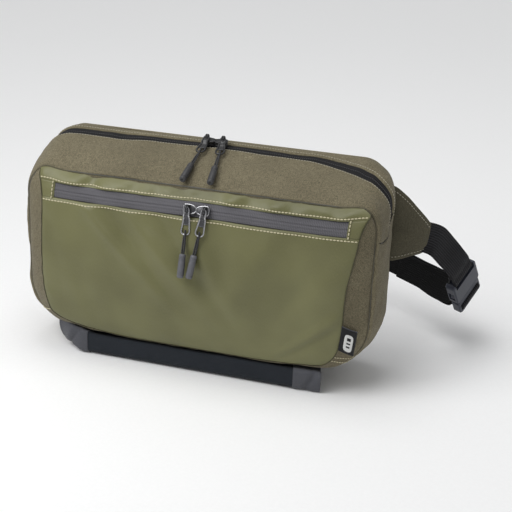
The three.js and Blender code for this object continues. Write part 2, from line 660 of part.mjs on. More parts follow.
add('belt_right', beltRight(), BLACK, 0.9);
add('belt_male_loop', beltMaleLoop(), BLACK, 0.9);
add('belt_left', beltLeft(), BLACK, 0.9);
add('belt_tail', beltTail(), BLACK, 0.9);

// Folded label caught in the seam between the pocket's front and its side.
function sideLabel() {
  const g = new THREE.BoxGeometry(15, 1.1, 28);
  g.rotateY(0.12);
  g.rotateZ(0.72);
  g.translate(154.6, -50.6, 52);
  return g;
}
add('side_label', sideLabel(), 0x1c1c1e, 0.85);

export default group;
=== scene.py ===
"""Waist bag: the looks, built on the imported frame. Shapes are worked out in millimetres."""

import json
import math

import bpy
import numpy as np
from mathutils import Matrix, Vector


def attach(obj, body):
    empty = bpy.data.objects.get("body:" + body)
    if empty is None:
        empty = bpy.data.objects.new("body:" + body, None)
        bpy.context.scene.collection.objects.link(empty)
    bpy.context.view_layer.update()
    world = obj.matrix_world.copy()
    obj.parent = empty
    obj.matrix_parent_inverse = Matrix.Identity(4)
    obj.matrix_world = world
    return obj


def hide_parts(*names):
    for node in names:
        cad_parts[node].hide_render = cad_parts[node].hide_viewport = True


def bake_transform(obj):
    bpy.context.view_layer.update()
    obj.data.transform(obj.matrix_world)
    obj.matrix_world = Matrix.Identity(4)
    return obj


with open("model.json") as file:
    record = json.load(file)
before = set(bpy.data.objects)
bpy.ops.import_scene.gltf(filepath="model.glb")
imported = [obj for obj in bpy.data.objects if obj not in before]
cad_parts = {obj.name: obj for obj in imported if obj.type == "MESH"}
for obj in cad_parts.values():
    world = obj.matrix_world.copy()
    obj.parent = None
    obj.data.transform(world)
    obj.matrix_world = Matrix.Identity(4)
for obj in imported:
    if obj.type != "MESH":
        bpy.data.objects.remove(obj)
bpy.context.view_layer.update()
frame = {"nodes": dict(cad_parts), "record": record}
nodes = frame["nodes"]
MM = 0.001

# ---- sizes of the bag, the same as the frame's, in mm ---------------------------------------
BODY_BOTTOM, BACK_Y = 20.0, 36.0
SEAM_Y, SEAM_W, SEAM_TOP = -34.0, 338.0, 181.0
CLOTH = 1.4
SPLIT_Z = 163.0                 # height at which the zipped top meets the sides
LIP_Y, LIP_LENGTH = SEAM_Y + 1.2, 6.2           # the canvas's front edge, which rolls over
LIP_END = LIP_Y - LIP_LENGTH
POCKET_Y = SEAM_Y - 2.6
PANEL_LOW, PANEL_TALL, PANEL_TOP = 25.6, 177.2, 179.0
FRONT_ZIP_Z, FRONT_ZIP_H = 161.0, 12.6
ZIP_LOW, ZIP_HIGH = FRONT_ZIP_Z - FRONT_ZIP_H / 2, FRONT_ZIP_Z + FRONT_ZIP_H / 2
WINDOW = (-134.0, 142.5)        # left and right ends of the front zip's window
SLEEVE_CLOTH_HALF = 104.0
CUFF_START, CUFF_LEFT_END, CUFF_RIGHT_END = SLEEVE_CLOTH_HALF - 1.5, 135.0, 129.0
SLEEVE_Y0, SLEEVE_Y1, SLEEVE_TOP = -50.0, 24.0, 18.8
# the body's outline at each depth y: width, bottom, top, upper and lower corner radius
STATIONS = np.array([
    [35.7, 322, 22, 203, 24, 46], [30, 334, 20.6, 202.6, 26, 48], [20, 342, 20, 200.6, 28, 49],
    [6, 346, 20, 196.5, 29, 50], [-10, 346, 20, 191, 29, 50], [-24, 342, 20, 185.5, 28, 49],
    [-34, 338, 20.6, 181, 26, 47]], float)[::-1]
WEB_W, WEB_T = 30.0, 1.6


# ---- numbers --------------------------------------------------------------------------------
def smooth(x, a, b):
    """0 below a, 1 above b, and an even S between."""
    t = np.clip((np.asarray(x, float) - a) / (b - a), 0, 1)
    return t * t * (3 - 2 * t)


def hill(distance, width):
    """A smooth bump, 1 at distance 0."""
    return np.exp(-(distance / width) ** 2)


def travelled(p):
    """Distance from the first point to each point, along the line through them."""
    return np.r_[0, np.cumsum(np.linalg.norm(np.diff(p, axis=0), axis=1))]


def curve_through(x, xs, ys):
    """Smooth interpolation through (xs, ys), with no overshoot."""
    xs, ys = np.asarray(xs, float), np.asarray(ys, float)
    h, d = np.diff(xs), np.diff(ys) / np.diff(xs)
    m = np.zeros_like(ys)
    m[0], m[-1] = d[0], d[-1]
    same = d[:-1] * d[1:] > 0
    m[1:-1][same] = 2 * d[:-1][same] * d[1:][same] / (d[:-1] + d[1:])[same]
    x = np.clip(x, xs[0], xs[-1])
    i = np.clip(np.searchsorted(xs, x, side="right") - 1, 0, len(h) - 1)
    t = (x - xs[i]) / h[i]
    return ((2 * t**3 - 3 * t**2 + 1) * ys[i] + (t**3 - 2 * t**2 + t) * h[i] * m[i]
            + (3 * t**2 - 2 * t**3) * ys[i + 1] + (t**3 - t**2) * h[i] * m[i + 1])


def waves(p, size, seed, count=7):
    """Even, repeatable undulation between about -1 and 1, with features about size mm apart."""
    rng = np.random.RandomState(seed)
    p = np.asarray(p, float)
    total = np.zeros(p.shape[:-1])
    for _ in range(count):
        k = rng.normal(size=3)
        k *= 2 * math.pi / size / np.linalg.norm(k) * rng.uniform(0.7, 1.35)
        total += np.sin(p @ k + rng.uniform(0, 6.28))
    return total / math.sqrt(count) * 0.8


def along(points, count=None, step=None):
    """Points at even spacing on a centripetal spline through the given points, and its length."""
    p = np.asarray(points, float)
    p = np.vstack([2 * p[0] - p[1], p, 2 * p[-1] - p[-2]])
    fine = []
    for i in range(1, len(p) - 2):
        q = p[i - 1:i + 3]
        dt = np.maximum(np.linalg.norm(np.diff(q, axis=0), axis=1) ** 0.5, 1e-4)
        t1 = (q[1] - q[0]) / dt[0] - (q[2] - q[0]) / (dt[0] + dt[1]) + (q[2] - q[1]) / dt[1]
        t2 = (q[2] - q[1]) / dt[1] - (q[3] - q[1]) / (dt[1] + dt[2]) + (q[3] - q[2]) / dt[2]
        t1, t2 = t1 * dt[1], t2 * dt[1]
        t = np.linspace(0, 1, 40, endpoint=False)[:, None]
        fine.append(q[1] * (2 * t**3 - 3 * t**2 + 1) + t1 * (t**3 - 2 * t**2 + t)
                    + q[2] * (3 * t**2 - 2 * t**3) + t2 * (t**3 - t**2))
    fine = np.vstack(fine + [p[-2][None]])
    s = travelled(fine)
    count = count or max(2, int(round(s[-1] / step)) + 1)
    at = np.linspace(0, s[-1], count)
    return np.stack([np.interp(at, s, fine[:, k]) for k in range(3)], 1), s[-1]


def upright(xz, y):
    """Points (x, y, z) from points (x, z) and their depth."""
    return np.stack([xz[..., 0], np.broadcast_to(y, xz.shape[:-1]), xz[..., 1]], -1)


def tangents(p):
    t = np.gradient(p, axis=0)
    return t / np.maximum(np.linalg.norm(t, axis=1), 1e-9)[:, None]


def unit(v):
    v = np.asarray(v, float)
    return v / np.linalg.norm(v)


# ---- the body's outline ---------------------------------------------------------------------
def outline_at(s, w, b, t, rt, rb):
    """Points (x, z) and outward directions of a rounded outline. s counts its eight stretches
    clockwise: 0 top left corner, 1 top, 2 top right corner, 3 right side, ... 7 left side."""
    s = np.asarray(s, float) % 8
    k, f = np.floor(s).astype(int), s - np.floor(s)
    hw = w / 2
    cx = np.choose(k // 2, [-hw + rt, hw - rt, hw - rb, -hw + rb])
    cz = np.choose(k // 2, [t - rt, t - rt, b + rb, b + rb])
    r = np.choose(k // 2, [rt, rt, rb, rb])
    a = np.radians(np.choose(k // 2, [180, 90, 0, -90]) - 90 * f)
    corner = np.stack([cx + r * np.cos(a), cz + r * np.sin(a)], -1)
    x = np.choose(k // 2, [-hw + rt + f * (w - 2 * rt), hw + 0 * f, hw - rb - f * (w - 2 * rb), -hw + 0 * f])
    side = t - rt - b - rb
    z = np.choose(k // 2, [t + 0 * f, t - rt - f * side, b + 0 * f, b + rb + f * side])
    n = np.stack([np.choose(k // 2, [0, 1, 0, -1]), np.choose(k // 2, [1, 0, -1, 0])], -1).astype(float)
    is_corner = (k % 2 == 0)[..., None]
    return (np.where(is_corner, corner, np.stack([x, z], -1)),
            np.where(is_corner, np.stack([np.cos(a), np.sin(a)], -1), n))


def station(y):
    """The outline's five sizes at depth y."""
    return [curve_through(y, STATIONS[:, 0], STATIONS[:, k]) for k in range(1, 6)]


def zip_y(x):
    """The main zip's line: its depth at a distance from the middle."""
    at = [0, 60, 100, 120, 135, 150, 165, 190]
    left = curve_through(-np.asarray(x, float), at, [24, 22.8, 22, 21.3, 20.4, 19.2, 18, 18])
    right = curve_through(x, at, [24, 22.6, 20.5, 17, 12, 5.5, 1.5, 3.5])
    return np.where(np.asarray(x) < 0, left, right)


def zip_half(x):
    """Half the width of the main zip between its two folded edges."""
    return 4.4 + 1.3 * smooth(np.abs(x), 60, 125) + 0.3 * np.sin(np.asarray(x) / 17)


def seam_z(y):
    """Height of the side seam that joins the zipped top to the lower gusset."""
    return curve_through(y, [-40, -34, -24, -14, -5, 3, 8, 60],
                         [150, 149, 146.5, 147, 152, 160, SPLIT_Z, SPLIT_Z])


def split(y, z):
    """Where the gusset's outline at depth y crosses height z on the left, as s."""
    _, b, t, rt, rb = station(y)
    on_side = -1 + (z - b - rb) / (t - rt - b - rb)
    on_corner = np.degrees(np.arcsin(np.clip((z - t + rt) / rt, 0, 1))) / 90
    return np.where(z > t - rt, on_corner, on_side)


def ears(p):
    """Pulls the cloth up at the two upper corners of the front seam."""
    near = smooth(-p[..., 1], 2, 34)
    left = 3.4 * hill(p[..., 0] + 147, 15) * hill(p[..., 2] - 181, 16) * near
    right = 5.0 * hill(p[..., 0] - 160, 17) * hill(p[..., 2] - 176, 17) * near
    lift = np.stack([0.45 * right - 0.1 * left, 0 * left, left + right], -1)
    return p + lift


def lip(y):
    """The canvas's front edge rolls over: how far its surface drops, and where it really lies."""
    a = np.clip((LIP_Y - np.asarray(y, float)) / LIP_LENGTH, 0, 1) * np.radians(165)
    return -2.3 * (1 - np.cos(a)), LIP_Y - 2.9 * np.sin(a)


def gusset(s, y, out=0.0):
    """A point of the gusset's cloth, out mm outside it."""
    y = np.asarray(y, float)
    p, n = outline_at(s, *station(np.maximum(y, SEAM_Y)))
    drop, real = lip(y)
    real = np.where(y > LIP_Y, y, real)
    q = upright(p, real)
    push = 0.8 * waves(q, 95, 3) + 0.32 * waves(q * [1, 1.6, 1], 36, 4) + 0.1 * waves(q, 13, 5)
    near_seam = np.exp(-np.abs(y - SEAM_Y) / 9)
    push = push - 0.3 * near_seam * (1 + np.sin(q[..., 0] / 7.5 + 2 * waves(q, 60, 6)))
    push = push + np.exp(-np.abs(y - SEAM_Y + 2) / 5) * (1.4 * waves(q, 62, 8) + 0.5 * waves(q, 22, 9))
    low = 1 - smooth(q[..., 2], 30, 75)
    angle = np.degrees(np.arctan2(n[..., 1], n[..., 0]))
    push = push + low * (0.5 * np.sin(angle / 5.5) * hill(y + 2, 30))
    hem = hill(y - zip_y(q[..., 0]), 7) * (q[..., 2] > 100)
    push = push + hem * 0.35 * np.sin(q[..., 0] / 6.5 + 2.2 * waves(q, 50, 7))
    return ears(q + upright((push + out + np.where(y > LIP_Y, 0, drop))[..., None] * n, 0))


def pocket_depth(z):
    """How far the front pocket's edge stands in front of the seam."""
    return curve_through(z, [20, 45, 80, 110, 140, 160, 172, 176.5, PANEL_TOP],
                         [11.6, 15.8, 17.6, 16.5, 12.8, 8.6, 2.6, -1.6, -4.6])


def half_width(z, side):
    """Distance from the middle to the front panel's left (-1) or right (1) edge at a height."""
    left = curve_through(
        z, [PANEL_LOW, 26.6, 28, 30.6, 35.4, 42.8, 56.4, 71.5, 90, 138, 155, 164, 171, 180],
        [58, 76, 90, 108.5, 126.7, 137.2, 141.8, 143.8, 144.6, 145.2, 146.4, 148.6, 151, 153])
    right = curve_through(
        z, [PANEL_LOW, 26.6, 28, 31, 39.8, 49.2, 60.9, 75.3, 103, 123, 138, 159, 170, 176, 180],
        [68, 90, 108, 128.6, 138.5, 142.6, 144.9, 145.9, 146.6, 149.4, 152, 155, 159, 161.5, 161])
    # under the rolled corners of the canvas
    corner = 143.2 + np.sqrt(np.clip(23.6**2 - np.clip(z - 153.9, 0, None) ** 2, 0.0, None))
    return np.minimum(np.where(np.asarray(side) < 0, left, right), corner)


def swelling(across, z):
    """How far the filled pocket bulges, at a share of its half width and at a height."""
    rise = np.clip((z - PANEL_LOW) / (PANEL_TALL - PANEL_LOW), 0, 1)
    return 4.2 * (1 - np.clip(across, 0, 1) ** 3) * np.sin(np.pi * rise**0.85) ** 0.8


def front(x, z, out=0.0):
    """A point of the front panel's outer face."""
    x, z = np.broadcast_arrays(np.asarray(x, float), np.asarray(z, float))
    wide = half_width(z, np.sign(x))
    swell = swelling(np.abs(x) / np.maximum(wide, 1), z)
    p = np.stack([x, np.zeros_like(x), z], -1)
    below, above = 1 - smooth(z, 150, 157), smooth(z, 165, 169)

    def fold(size, slope, x0, z0, width):
        d = (x - x0 + slope * (z - z0)) / width
        return size * np.exp(-d**2) * hill(z - z0, 52)

    drape = (fold(3.0, 1.0, -84, 136, 10) - fold(3.2, 0.95, -64, 132, 9) + fold(2.8, 0.9, -36, 128, 9)
             - fold(2.6, 0.8, -12, 128, 8) + fold(2.2, 0.6, 12, 126, 9) - fold(2.0, 0.1, 30, 124, 10)
             + fold(1.8, -0.5, 62, 118, 13) - fold(1.6, -0.7, 100, 92, 13) + fold(2.4, -1.1, 126, 66, 9)
             - fold(2.0, -1.3, 112, 48, 8) + fold(1.6, 0.3, -118, 96, 10) - fold(1.2, 0.5, -104, 70, 11))
    push = below * (drape + 0.7 * waves(p, 90, 11) + 0.22 * waves(p, 32, 12))
    pucker = (0.8 * np.sin(x / 14.5 + 2.6 * waves(p, 85, 13)) + 0.7 * waves(p, 26, 17)
              + 0.35 * np.sin(x / 5.6 + z / 4 + 2.2 * waves(p, 40, 15)))
    push = push + above * 2.1 * pucker * np.sin(np.pi * np.clip((z - 166) / 14, 0, 1))
    hem = np.exp(-np.abs(z - ZIP_LOW) / 6) * below
    push = push + hem * (0.45 + 0.3 * np.sin(x / 8.5 + 2 * waves(p, 50, 14)))
    edge = np.clip(np.exp(-(wide - np.abs(x)) / 5.0) + np.exp(-(z - PANEL_LOW) / 5.0), 0, 1)
    ruck = 0.5 * edge * np.sin((z + 0.4 * x) / 4.3 + 2 * waves(p, 40, 16)) * (1 - edge)
    push = push * (1 - edge) - 1.1 * edge**2 + ruck * 2
    return ears(np.stack([x, POCKET_Y - pocket_depth(z) - swell - CLOTH - 0.1 - push - out, z], -1))


# ---- meshes ---------------------------------------------------------------------------------
def quads(nu, nv, wrap=False):
    """Faces of a grid of nv rows of nu points. wrap joins each row's end to its start."""
    i, j = np.meshgrid(np.arange(nu if wrap else nu - 1), np.arange(nv - 1))
    a, b = j * nu + i, j * nu + (i + 1) % nu
    return np.stack([a, b, b + nu, a + nu], -1).reshape(-1, 4)


def loft(nu, nv):
    """Faces of a closed shape of nv rings of nu points, with a cap at each end."""
    return quads(nu, nv, True).tolist() + [list(range(nu))[::-1], list(range((nv - 1) * nu, nv * nu))]


def thing(name, verts, faces, material, body="bag", slot=None, replaces=(), uv=None):
    """A mesh object from points in mm, riding on a body."""
    mesh = bpy.data.meshes.new(name)
    faces = [tuple(int(i) for i in f) for f in faces]
    mesh.from_pydata((np.asarray(verts, float).reshape(-1, 3) * MM).tolist(), [], faces)
    if uv is not None:
        layer = mesh.uv_layers.new(name="cloth")
        index = np.zeros(len(mesh.loops), int)
        mesh.loops.foreach_get("vertex_index", index)
        layer.data.foreach_set("uv", np.asarray(uv, float).reshape(-1, 2)[index].ravel())
    mesh.validate()
    mesh.shade_smooth()
    o = bpy.data.objects.new(name, mesh)
    bpy.context.scene.collection.objects.link(o)
    mesh.materials.append(material)
    if body:
        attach(o, body)
    if replaces:
        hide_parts(*replaces)
    return o


def lay_uv(p):
    """Cloth coordinates in mm of a (rows, columns, 3) grid, measured along it."""
    u = np.pad(np.cumsum(np.linalg.norm(np.diff(p, axis=1), axis=2), 1), ((0, 0), (1, 0)))
    v = np.pad(np.cumsum(np.linalg.norm(np.diff(p, axis=0), axis=2), 0), ((1, 0), (0, 0)))
    return np.stack([u - u.mean(1, keepdims=True), v], -1)


def cloth(name, p, material, outward, thick=1.2, wrap=False, **kw):
    """A grid of points as cloth of some thickness, which goes inwards from the points. See facing."""
    rows, cols = p.shape[:2]
    o = thing(name, p, quads(cols, rows, wrap), material, uv=lay_uv(p), **kw)
    m = o.modifiers.new("thickness", "SOLIDIFY")
    m.thickness, m.offset, m.use_even_offset = thick * MM, -1, False
    return facing(o, outward)


def facing(o, outward):
    """Turns the faces over if they face against outward: a direction, or a rule that gives one for
    each point."""
    me = o.data
    n = np.zeros(len(me.polygons) * 3)
    me.polygons.foreach_get("normal", n)
    area = np.zeros(len(me.polygons))
    me.polygons.foreach_get("area", area)
    c = np.zeros(len(me.polygons) * 3)
    me.polygons.foreach_get("center", c)
    n, c = n.reshape(-1, 3), c.reshape(-1, 3)
    way = outward(c / MM) if callable(outward) else np.asarray(outward, float)
    if ((n * way).sum(1) * area).sum() < 0:
        me.flip_normals()
    return o


FRONTWARDS, BACKWARDS = [0, -1, 0], [0, 1, 0]


def from_axis(c):
    return (c - [0, 0, 105]) * [1, 0, 1]


def tube(name, path, radius, material, sides=10, closed=False, **kw):
    """A round tube along points in mm. radius is a number or one per point."""
    p = np.asarray(path, float)
    t = tangents(np.vstack([p[-1:], p, p[:1]]))[1:-1] if closed else tangents(p)
    n = np.cross(t[0], [0, 0, 1] if abs(t[0][2]) < 0.9 else [1, 0, 0])
    rings, r = [], np.broadcast_to(radius, (len(p),))
    for i in range(len(p)):
        n = unit(n - t[i] * (n @ t[i]))
        b = np.cross(t[i], n)
        a = np.linspace(0, 2 * np.pi, sides, endpoint=False)[:, None]
        rings.append(p[i] + r[i] * (np.cos(a) * n + np.sin(a) * b))
    rings = np.array(rings)
    if closed:
        rings = np.concatenate([rings, rings[:1]])
    if closed:
        faces = quads(sides, len(rings), True) % ((len(rings) - 1) * sides)
        rings = rings[:-1]
    else:
        faces = loft(sides, len(rings))
    length = travelled(p)
    uv = np.stack(np.meshgrid(np.arange(sides) * 2 * np.pi * np.mean(r) / sides, length[:len(rings)]), -1)
    return thing(name, rings, faces, material, uv=uv, **kw)


def recolour(node, material):
    """Gives a CAD piece that stays visible a new material."""
    nodes[node].data.materials.clear()
    nodes[node].data.materials.append(material)
    return nodes[node]


def bevel(o, width, segments=2, angle=35):
    m = o.modifiers.new("edges", "BEVEL")
    m.width, m.segments, m.limit_method, m.angle_limit = width * MM, segments, "ANGLE", math.radians(angle)
    return o


def stitches(name, lines, material, slot, pitch, length, radius):
    """Threads of a seam as one mesh. Each line is (points, outward directions) in mm."""
    ring, rows = 6, 5
    prof = np.linspace(0, np.pi, rows)
    unit_pts = np.array([[-np.cos(a), np.sin(a) * np.cos(b), np.sin(a) * np.sin(b)]
                         for a in prof for b in np.linspace(0, 2 * np.pi, ring, endpoint=False)])
    unit_faces = quads(ring, rows, True)
    verts, faces = [], []
    for points, ups in lines:
        points = np.asarray(points, float)
        ups = np.broadcast_to(np.asarray(ups, float), points.shape)
        s = travelled(points)
        count = max(1, int(s[-1] / pitch))
        for k in range(count):
            mid = (k + 0.5) * s[-1] / count
            ends = [np.array([np.interp(mid + d, s, points[:, c]) for c in range(3)])
                    for d in (-length / 2, length / 2)]
            up = np.array([np.interp(mid, s, ups[:, c]) for c in range(3)])
            x = ends[1] - ends[0]
            half = np.linalg.norm(x) / 2
            x = x / max(2 * half, 1e-6)
            y = unit(np.cross(up, x))
            z = np.cross(x, y)
            c = (ends[0] + ends[1]) / 2 + z * radius * 0.25
            faces += (unit_faces + len(verts) * len(unit_pts)).tolist()
            verts.append(c + unit_pts @ np.stack([x * half, y * radius * 1.15, z * radius]))
    return thing(name, np.vstack(verts), faces, material, slot=slot)


# ---- materials ------------------------------------------------------------------------------
class Nodes:
    """A short way to write a node tree."""

    def __init__(self, name):
        self.material = bpy.data.materials.new(name)
        self.material.use_nodes = True
        self.tree = self.material.node_tree
        self.shader = self.tree.nodes["Principled BSDF"]

    def node(self, kind, inputs=None, **settings):
        n = self.tree.nodes.new(kind)
        for k, v in settings.items():
            setattr(n, k, v)
        for k, v in (inputs or {}).items():
            if isinstance(v, bpy.types.NodeSocket):
                self.tree.links.new(v, n.inputs[k])
            else:
                n.inputs[k].default_value = v
        return n

    def math(self, op, a, b=0.0):
        return self.node("ShaderNodeMath", {0: a, 1: b}, operation=op).outputs[0]

    def times(self, a, b):
        return self.math("MULTIPLY", a, b)

    def plus(self, a, b):
        return self.math("ADD", a, b)

    def mix(self, factor, a, b):
        n = self.node("ShaderNodeMix", data_type="RGBA")
        for socket, v in ((n.inputs[0], factor), (n.inputs[6], a), (n.inputs[7], b)):
            if isinstance(v, bpy.types.NodeSocket):
                self.tree.links.new(v, socket)
            else:
                socket.default_value = v if isinstance(v, float) else (*v, 1.0)
        return n.outputs[2]

    def place(self):
        """Object coordinates in mm."""
        co = self.node("ShaderNodeTexCoord").outputs["Object"]
        return self.scaled(co, 1000, 1000, 1000)

    def weave_place(self):
        return self.node("ShaderNodeUVMap", uv_map="cloth").outputs[0]

    def scaled(self, vector, x, y, z=1.0):
        return self.node("ShaderNodeVectorMath", {0: vector, 1: (x, y, z)}, operation="MULTIPLY").outputs[0]

    def noise(self, vector, scale, detail=2.0, rough=0.5):
        inputs = {"Vector": vector, "Scale": scale, "Detail": detail, "Roughness": rough}
        return self.node("ShaderNodeTexNoise", inputs).outputs[0]

    def span(self, value, a, b, to_a=0.0, to_b=1.0):
        return self.node("ShaderNodeMapRange", {0: value, 1: a, 2: b, 3: to_a, 4: to_b}).outputs[0]

    def sine(self, value, period):
        return self.math("SINE", self.times(value, 2 * math.pi / period))

    def split(self, vector):
        return self.node("ShaderNodeSeparateXYZ", {0: vector}).outputs

    def bump(self, height, distance, strength=1.0, normal=None):
        inputs = {"Height": height, "Distance": distance * MM, "Strength": strength}
        if normal is not None:
            inputs["Normal"] = normal
        return self.node("ShaderNodeBump", inputs).outputs[0]

    def done(self, colour, roughness, normal=None, **fixed):
        s = self.shader
        for socket, v in (("Base Color", colour), ("Roughness", roughness)):
            if isinstance(v, bpy.types.NodeSocket):
                self.tree.links.new(v, s.inputs[socket])
            else:
                s.inputs[socket].default_value = (*v, 1.0) if socket == "Base Color" else v
        if normal is not None:
            self.tree.links.new(normal, s.inputs["Normal"])
        for k, v in fixed.items():
            s.inputs[k.replace("_", " ").title().replace("Ior", "IOR")].default_value = v
        return self.material


def shade(colour, k):
    return tuple(c * k for c in colour)


def woven(name, light, dark, yarn=0.55, heather=1.0, rough=0.88, sheen=0.2, uv=True, wear=0.0):
    """Plain weave with yarns of uneven colour, in cloth coordinates, or in space where a piece has none."""
    m = Nodes(name)
    space = m.place()
    at = m.weave_place() if uv else space
    u, v = m.split(at)[0], m.split(at)[1 if uv else 2]
    warp = m.noise(m.scaled(at, 1.9, 0.16, 1.0 if uv else 1.9), 1.0, 2.0, 0.6)
    weft = m.noise(m.scaled(at, 0.16, 1.9, 1.0 if uv else 0.16), 1.0, 2.0, 0.6)
    grain = m.noise(space, 1.3, 3.0, 0.65)
    fleck = m.noise(m.scaled(at, 1.05, 1.2, 1.0 if uv else 1.2), 1.0, 3.0, 0.7)
    patch = m.noise(space, 0.022, 3.0, 0.55)
    total = m.plus(m.plus(warp, weft), m.plus(m.times(grain, 2.0), m.times(fleck, 1.6)))
    mixed = m.times(total, 1 / 5.6)
    factor = m.span(mixed, 0.5 - 0.1 / heather, 0.5 + 0.1 / heather)
    colour = m.mix(factor, dark, light)
    colour = m.mix(m.span(patch, 0.3, 0.7, 0.0, 0.35), colour, shade(dark, 0.85))
    over = m.times(m.sine(u, yarn * 2), m.sine(v, yarn * 2))
    height = m.plus(m.times(over, 0.6), m.times(grain, 0.9))
    normal = m.bump(height, 0.12, 0.7)
    if wear:
        edge = m.node("ShaderNodeNewGeometry").outputs["Pointiness"]
        rubbed = tuple(min(1, c * 1.7 + 0.02) for c in light)
        colour = m.mix(m.span(edge, 0.53, 0.6, 0.0, wear), colour, rubbed)
    return m.done(colour, m.span(grain, 0.3, 0.7, rough - 0.06, min(1.0, rough + 0.06)), normal,
                  sheen_weight=sheen, sheen_roughness=0.45, specular_ior_level=0.25)


def satin(name, light, dark, rough=0.42):
    """Close twill nylon with a soft shine."""
    m = Nodes(name)
    space, at = m.place(), m.weave_place()
    u, v = m.split(at)[0], m.split(at)[1]
    twill = m.sine(m.plus(u, m.times(v, 0.55)), 0.62)
    grain = m.noise(m.scaled(at, 3.0, 0.5), 1.0, 2.0, 0.6)
    patch = m.noise(space, 0.016, 2.0, 0.5)
    colour = m.mix(m.span(patch, 0.35, 0.65), dark, light)
    colour = m.mix(m.span(grain, 0.4, 0.62, 0.0, 0.25), colour, shade(light, 1.25))
    height = m.plus(m.times(twill, 0.4), grain)
    crease = m.noise(space, 0.085, 3.0, 0.5)
    normal = m.bump(height, 0.03, 0.5, m.bump(crease, 1.1, 0.35))
    return m.done(colour, m.span(grain, 0.35, 0.65, rough - 0.04, rough + 0.05), normal,
                  sheen_weight=0.08, sheen_roughness=0.35, specular_ior_level=0.36, anisotropic=0.3)


def ribbed(name, light, dark, rib=2.1, rough=0.8, lift=0.35, cross=0.9, sheen=0.15):
    """Webbing: ribs along its length, each made of slanting threads."""
    m = Nodes(name)
    space, at = m.place(), m.weave_place()
    u, v = m.split(at)[0], m.split(at)[1]
    ridge = m.math("ABSOLUTE", m.sine(u, rib * 2))
    slant = m.sine(m.plus(v, m.times(u, 0.9)), cross)
    grain = m.noise(m.scaled(at, 2.2, 0.8), 1.0, 2.0, 0.6)
    height = m.plus(ridge, m.plus(m.times(slant, 0.22), m.times(grain, 0.35)))
    # painted shade and highlight: the colour follows the rib height, darker in the grooves and paler on the
    # ribs
    colour = m.mix(m.span(height, 0.25, 1.35), dark, light)
    colour = m.mix(m.span(m.noise(space, 0.05, 2.0), 0.4, 0.7, 0.0, 0.3), colour, dark)
    return m.done(colour, m.span(grain, 0.3, 0.7, rough - 0.08, rough + 0.06), m.bump(height, lift, 0.8),
                  sheen_weight=sheen, sheen_roughness=0.5, specular_ior_level=0.2)


def metal(name, colour, rough, metallic=1.0, coat=0.0):
    """Plated or painted metal with fine scratches."""
    m = Nodes(name)
    space = m.place()
    scratch = m.noise(m.scaled(space, 3.0, 0.4, 3.0), 1.0, 3.0, 0.6)
    fine = m.noise(space, 2.2, 3.0, 0.6)
    tone = m.mix(m.span(fine, 0.3, 0.7), shade(colour, 0.86), colour)
    return m.done(tone, m.span(scratch, 0.35, 0.7, rough, rough + 0.14), m.bump(fine, 0.02, 0.4),
                  metallic=metallic, coat_weight=coat, coat_roughness=0.2)


def plastic(name, colour, rough):
    """Moulded plastic or rubber with a fine matt grain, paler on its sharp outer edges."""
    m = Nodes(name)
    space = m.place()
    grain = m.noise(space, 3.2, 2.0, 0.6)
    patch = m.noise(space, 0.12, 3.0, 0.6)
    tone = m.mix(m.span(patch, 0.35, 0.7), shade(colour, 0.88), shade(colour, 1.08))
    edge = m.node("ShaderNodeNewGeometry").outputs["Pointiness"]
    tone = m.mix(m.span(edge, 0.52, 0.62, 0.0, 0.5), tone, tuple(c * 1.8 + 0.02 for c in colour))
    return m.done(tone, m.span(grain, 0.3, 0.7, rough - 0.05, rough + 0.08), m.bump(grain, 0.03, 0.6),
                  specular_ior_level=0.45)


def thread(name, colour):
    """Twisted sewing thread."""
    m = Nodes(name)
    space = m.place()
    ply = m.noise(space, 2.6, 2.0, 0.6)
    tone = m.mix(m.span(ply, 0.3, 0.7), shade(colour, 0.72), colour)
    return m.done(tone, 0.75, m.bump(ply, 0.08, 0.7), sheen_weight=0.3, sheen_roughness=0.4)


def mesh_fabric(name, light, dark, hole=2.6):
    """Spacer mesh: rows of small round holes."""
    m = Nodes(name)
    space = m.place()
    x, _, z = m.split(space)
    row = m.sine(z, hole)
    col = m.sine(m.plus(x, m.times(m.math("SIGN", m.sine(z, hole * 2)), hole / 4)), hole)
    net = m.times(row, col)
    fuzz = m.noise(space, 2.5, 2.0, 0.6)
    colour = m.mix(m.span(net, -0.2, 0.5), light, dark)
    return m.done(colour, m.span(fuzz, 0.3, 0.7, 0.82, 0.96), m.bump(m.math("SUBTRACT", fuzz, net), 0.5, 0.8),
                  sheen_weight=0.2, sheen_roughness=0.5)


CANVAS = woven("canvas", (0.250, 0.218, 0.139), (0.082, 0.070, 0.043), heather=1.5, wear=0.2, sheen=0.06)
# a darker copy of the canvas for the wings, which sit back beside the bag: painted shade
CANVAS_WING_SHADED = woven("canvas_wing_shaded", (0.135, 0.122, 0.080), (0.050, 0.045, 0.030),
                    heather=1.0, wear=0.1, sheen=0.03)
NYLON = satin("olive_nylon", (0.152, 0.149, 0.066), (0.116, 0.113, 0.049))
SLEEVE_CLOTH = woven("sleeve_fabric", (0.024, 0.028, 0.035), (0.013, 0.016, 0.021),
                     yarn=0.4, heather=0.8, sheen=0.03)
CUFF = woven("cuff_fabric", (0.092, 0.094, 0.108), (0.058, 0.060, 0.070),
             yarn=0.35, heather=0.7, rough=0.5, sheen=0.08)
TAPE_BLACK = ribbed("zip_tape_black", (0.020, 0.019, 0.020), (0.008, 0.008, 0.008),
                    rib=0.8, lift=0.1, sheen=0.03)
TAPE_GREY = ribbed("zip_tape_grey", (0.138, 0.134, 0.146), (0.075, 0.073, 0.081),
                   rib=1.6, lift=0.1, rough=0.7, cross=2.3, sheen=0.05)
COIL = plastic("zip_coil", (0.03, 0.03, 0.034), 0.5)
# a darker copy of the webbing for the belt where it runs behind and under the bag: painted shade
WEBBING_SHADED = ribbed("webbing_shaded", (0.007, 0.007, 0.0075), (0.0015, 0.0015, 0.0015),
                     rib=2.3, lift=0.5, cross=1.5, sheen=0.0)
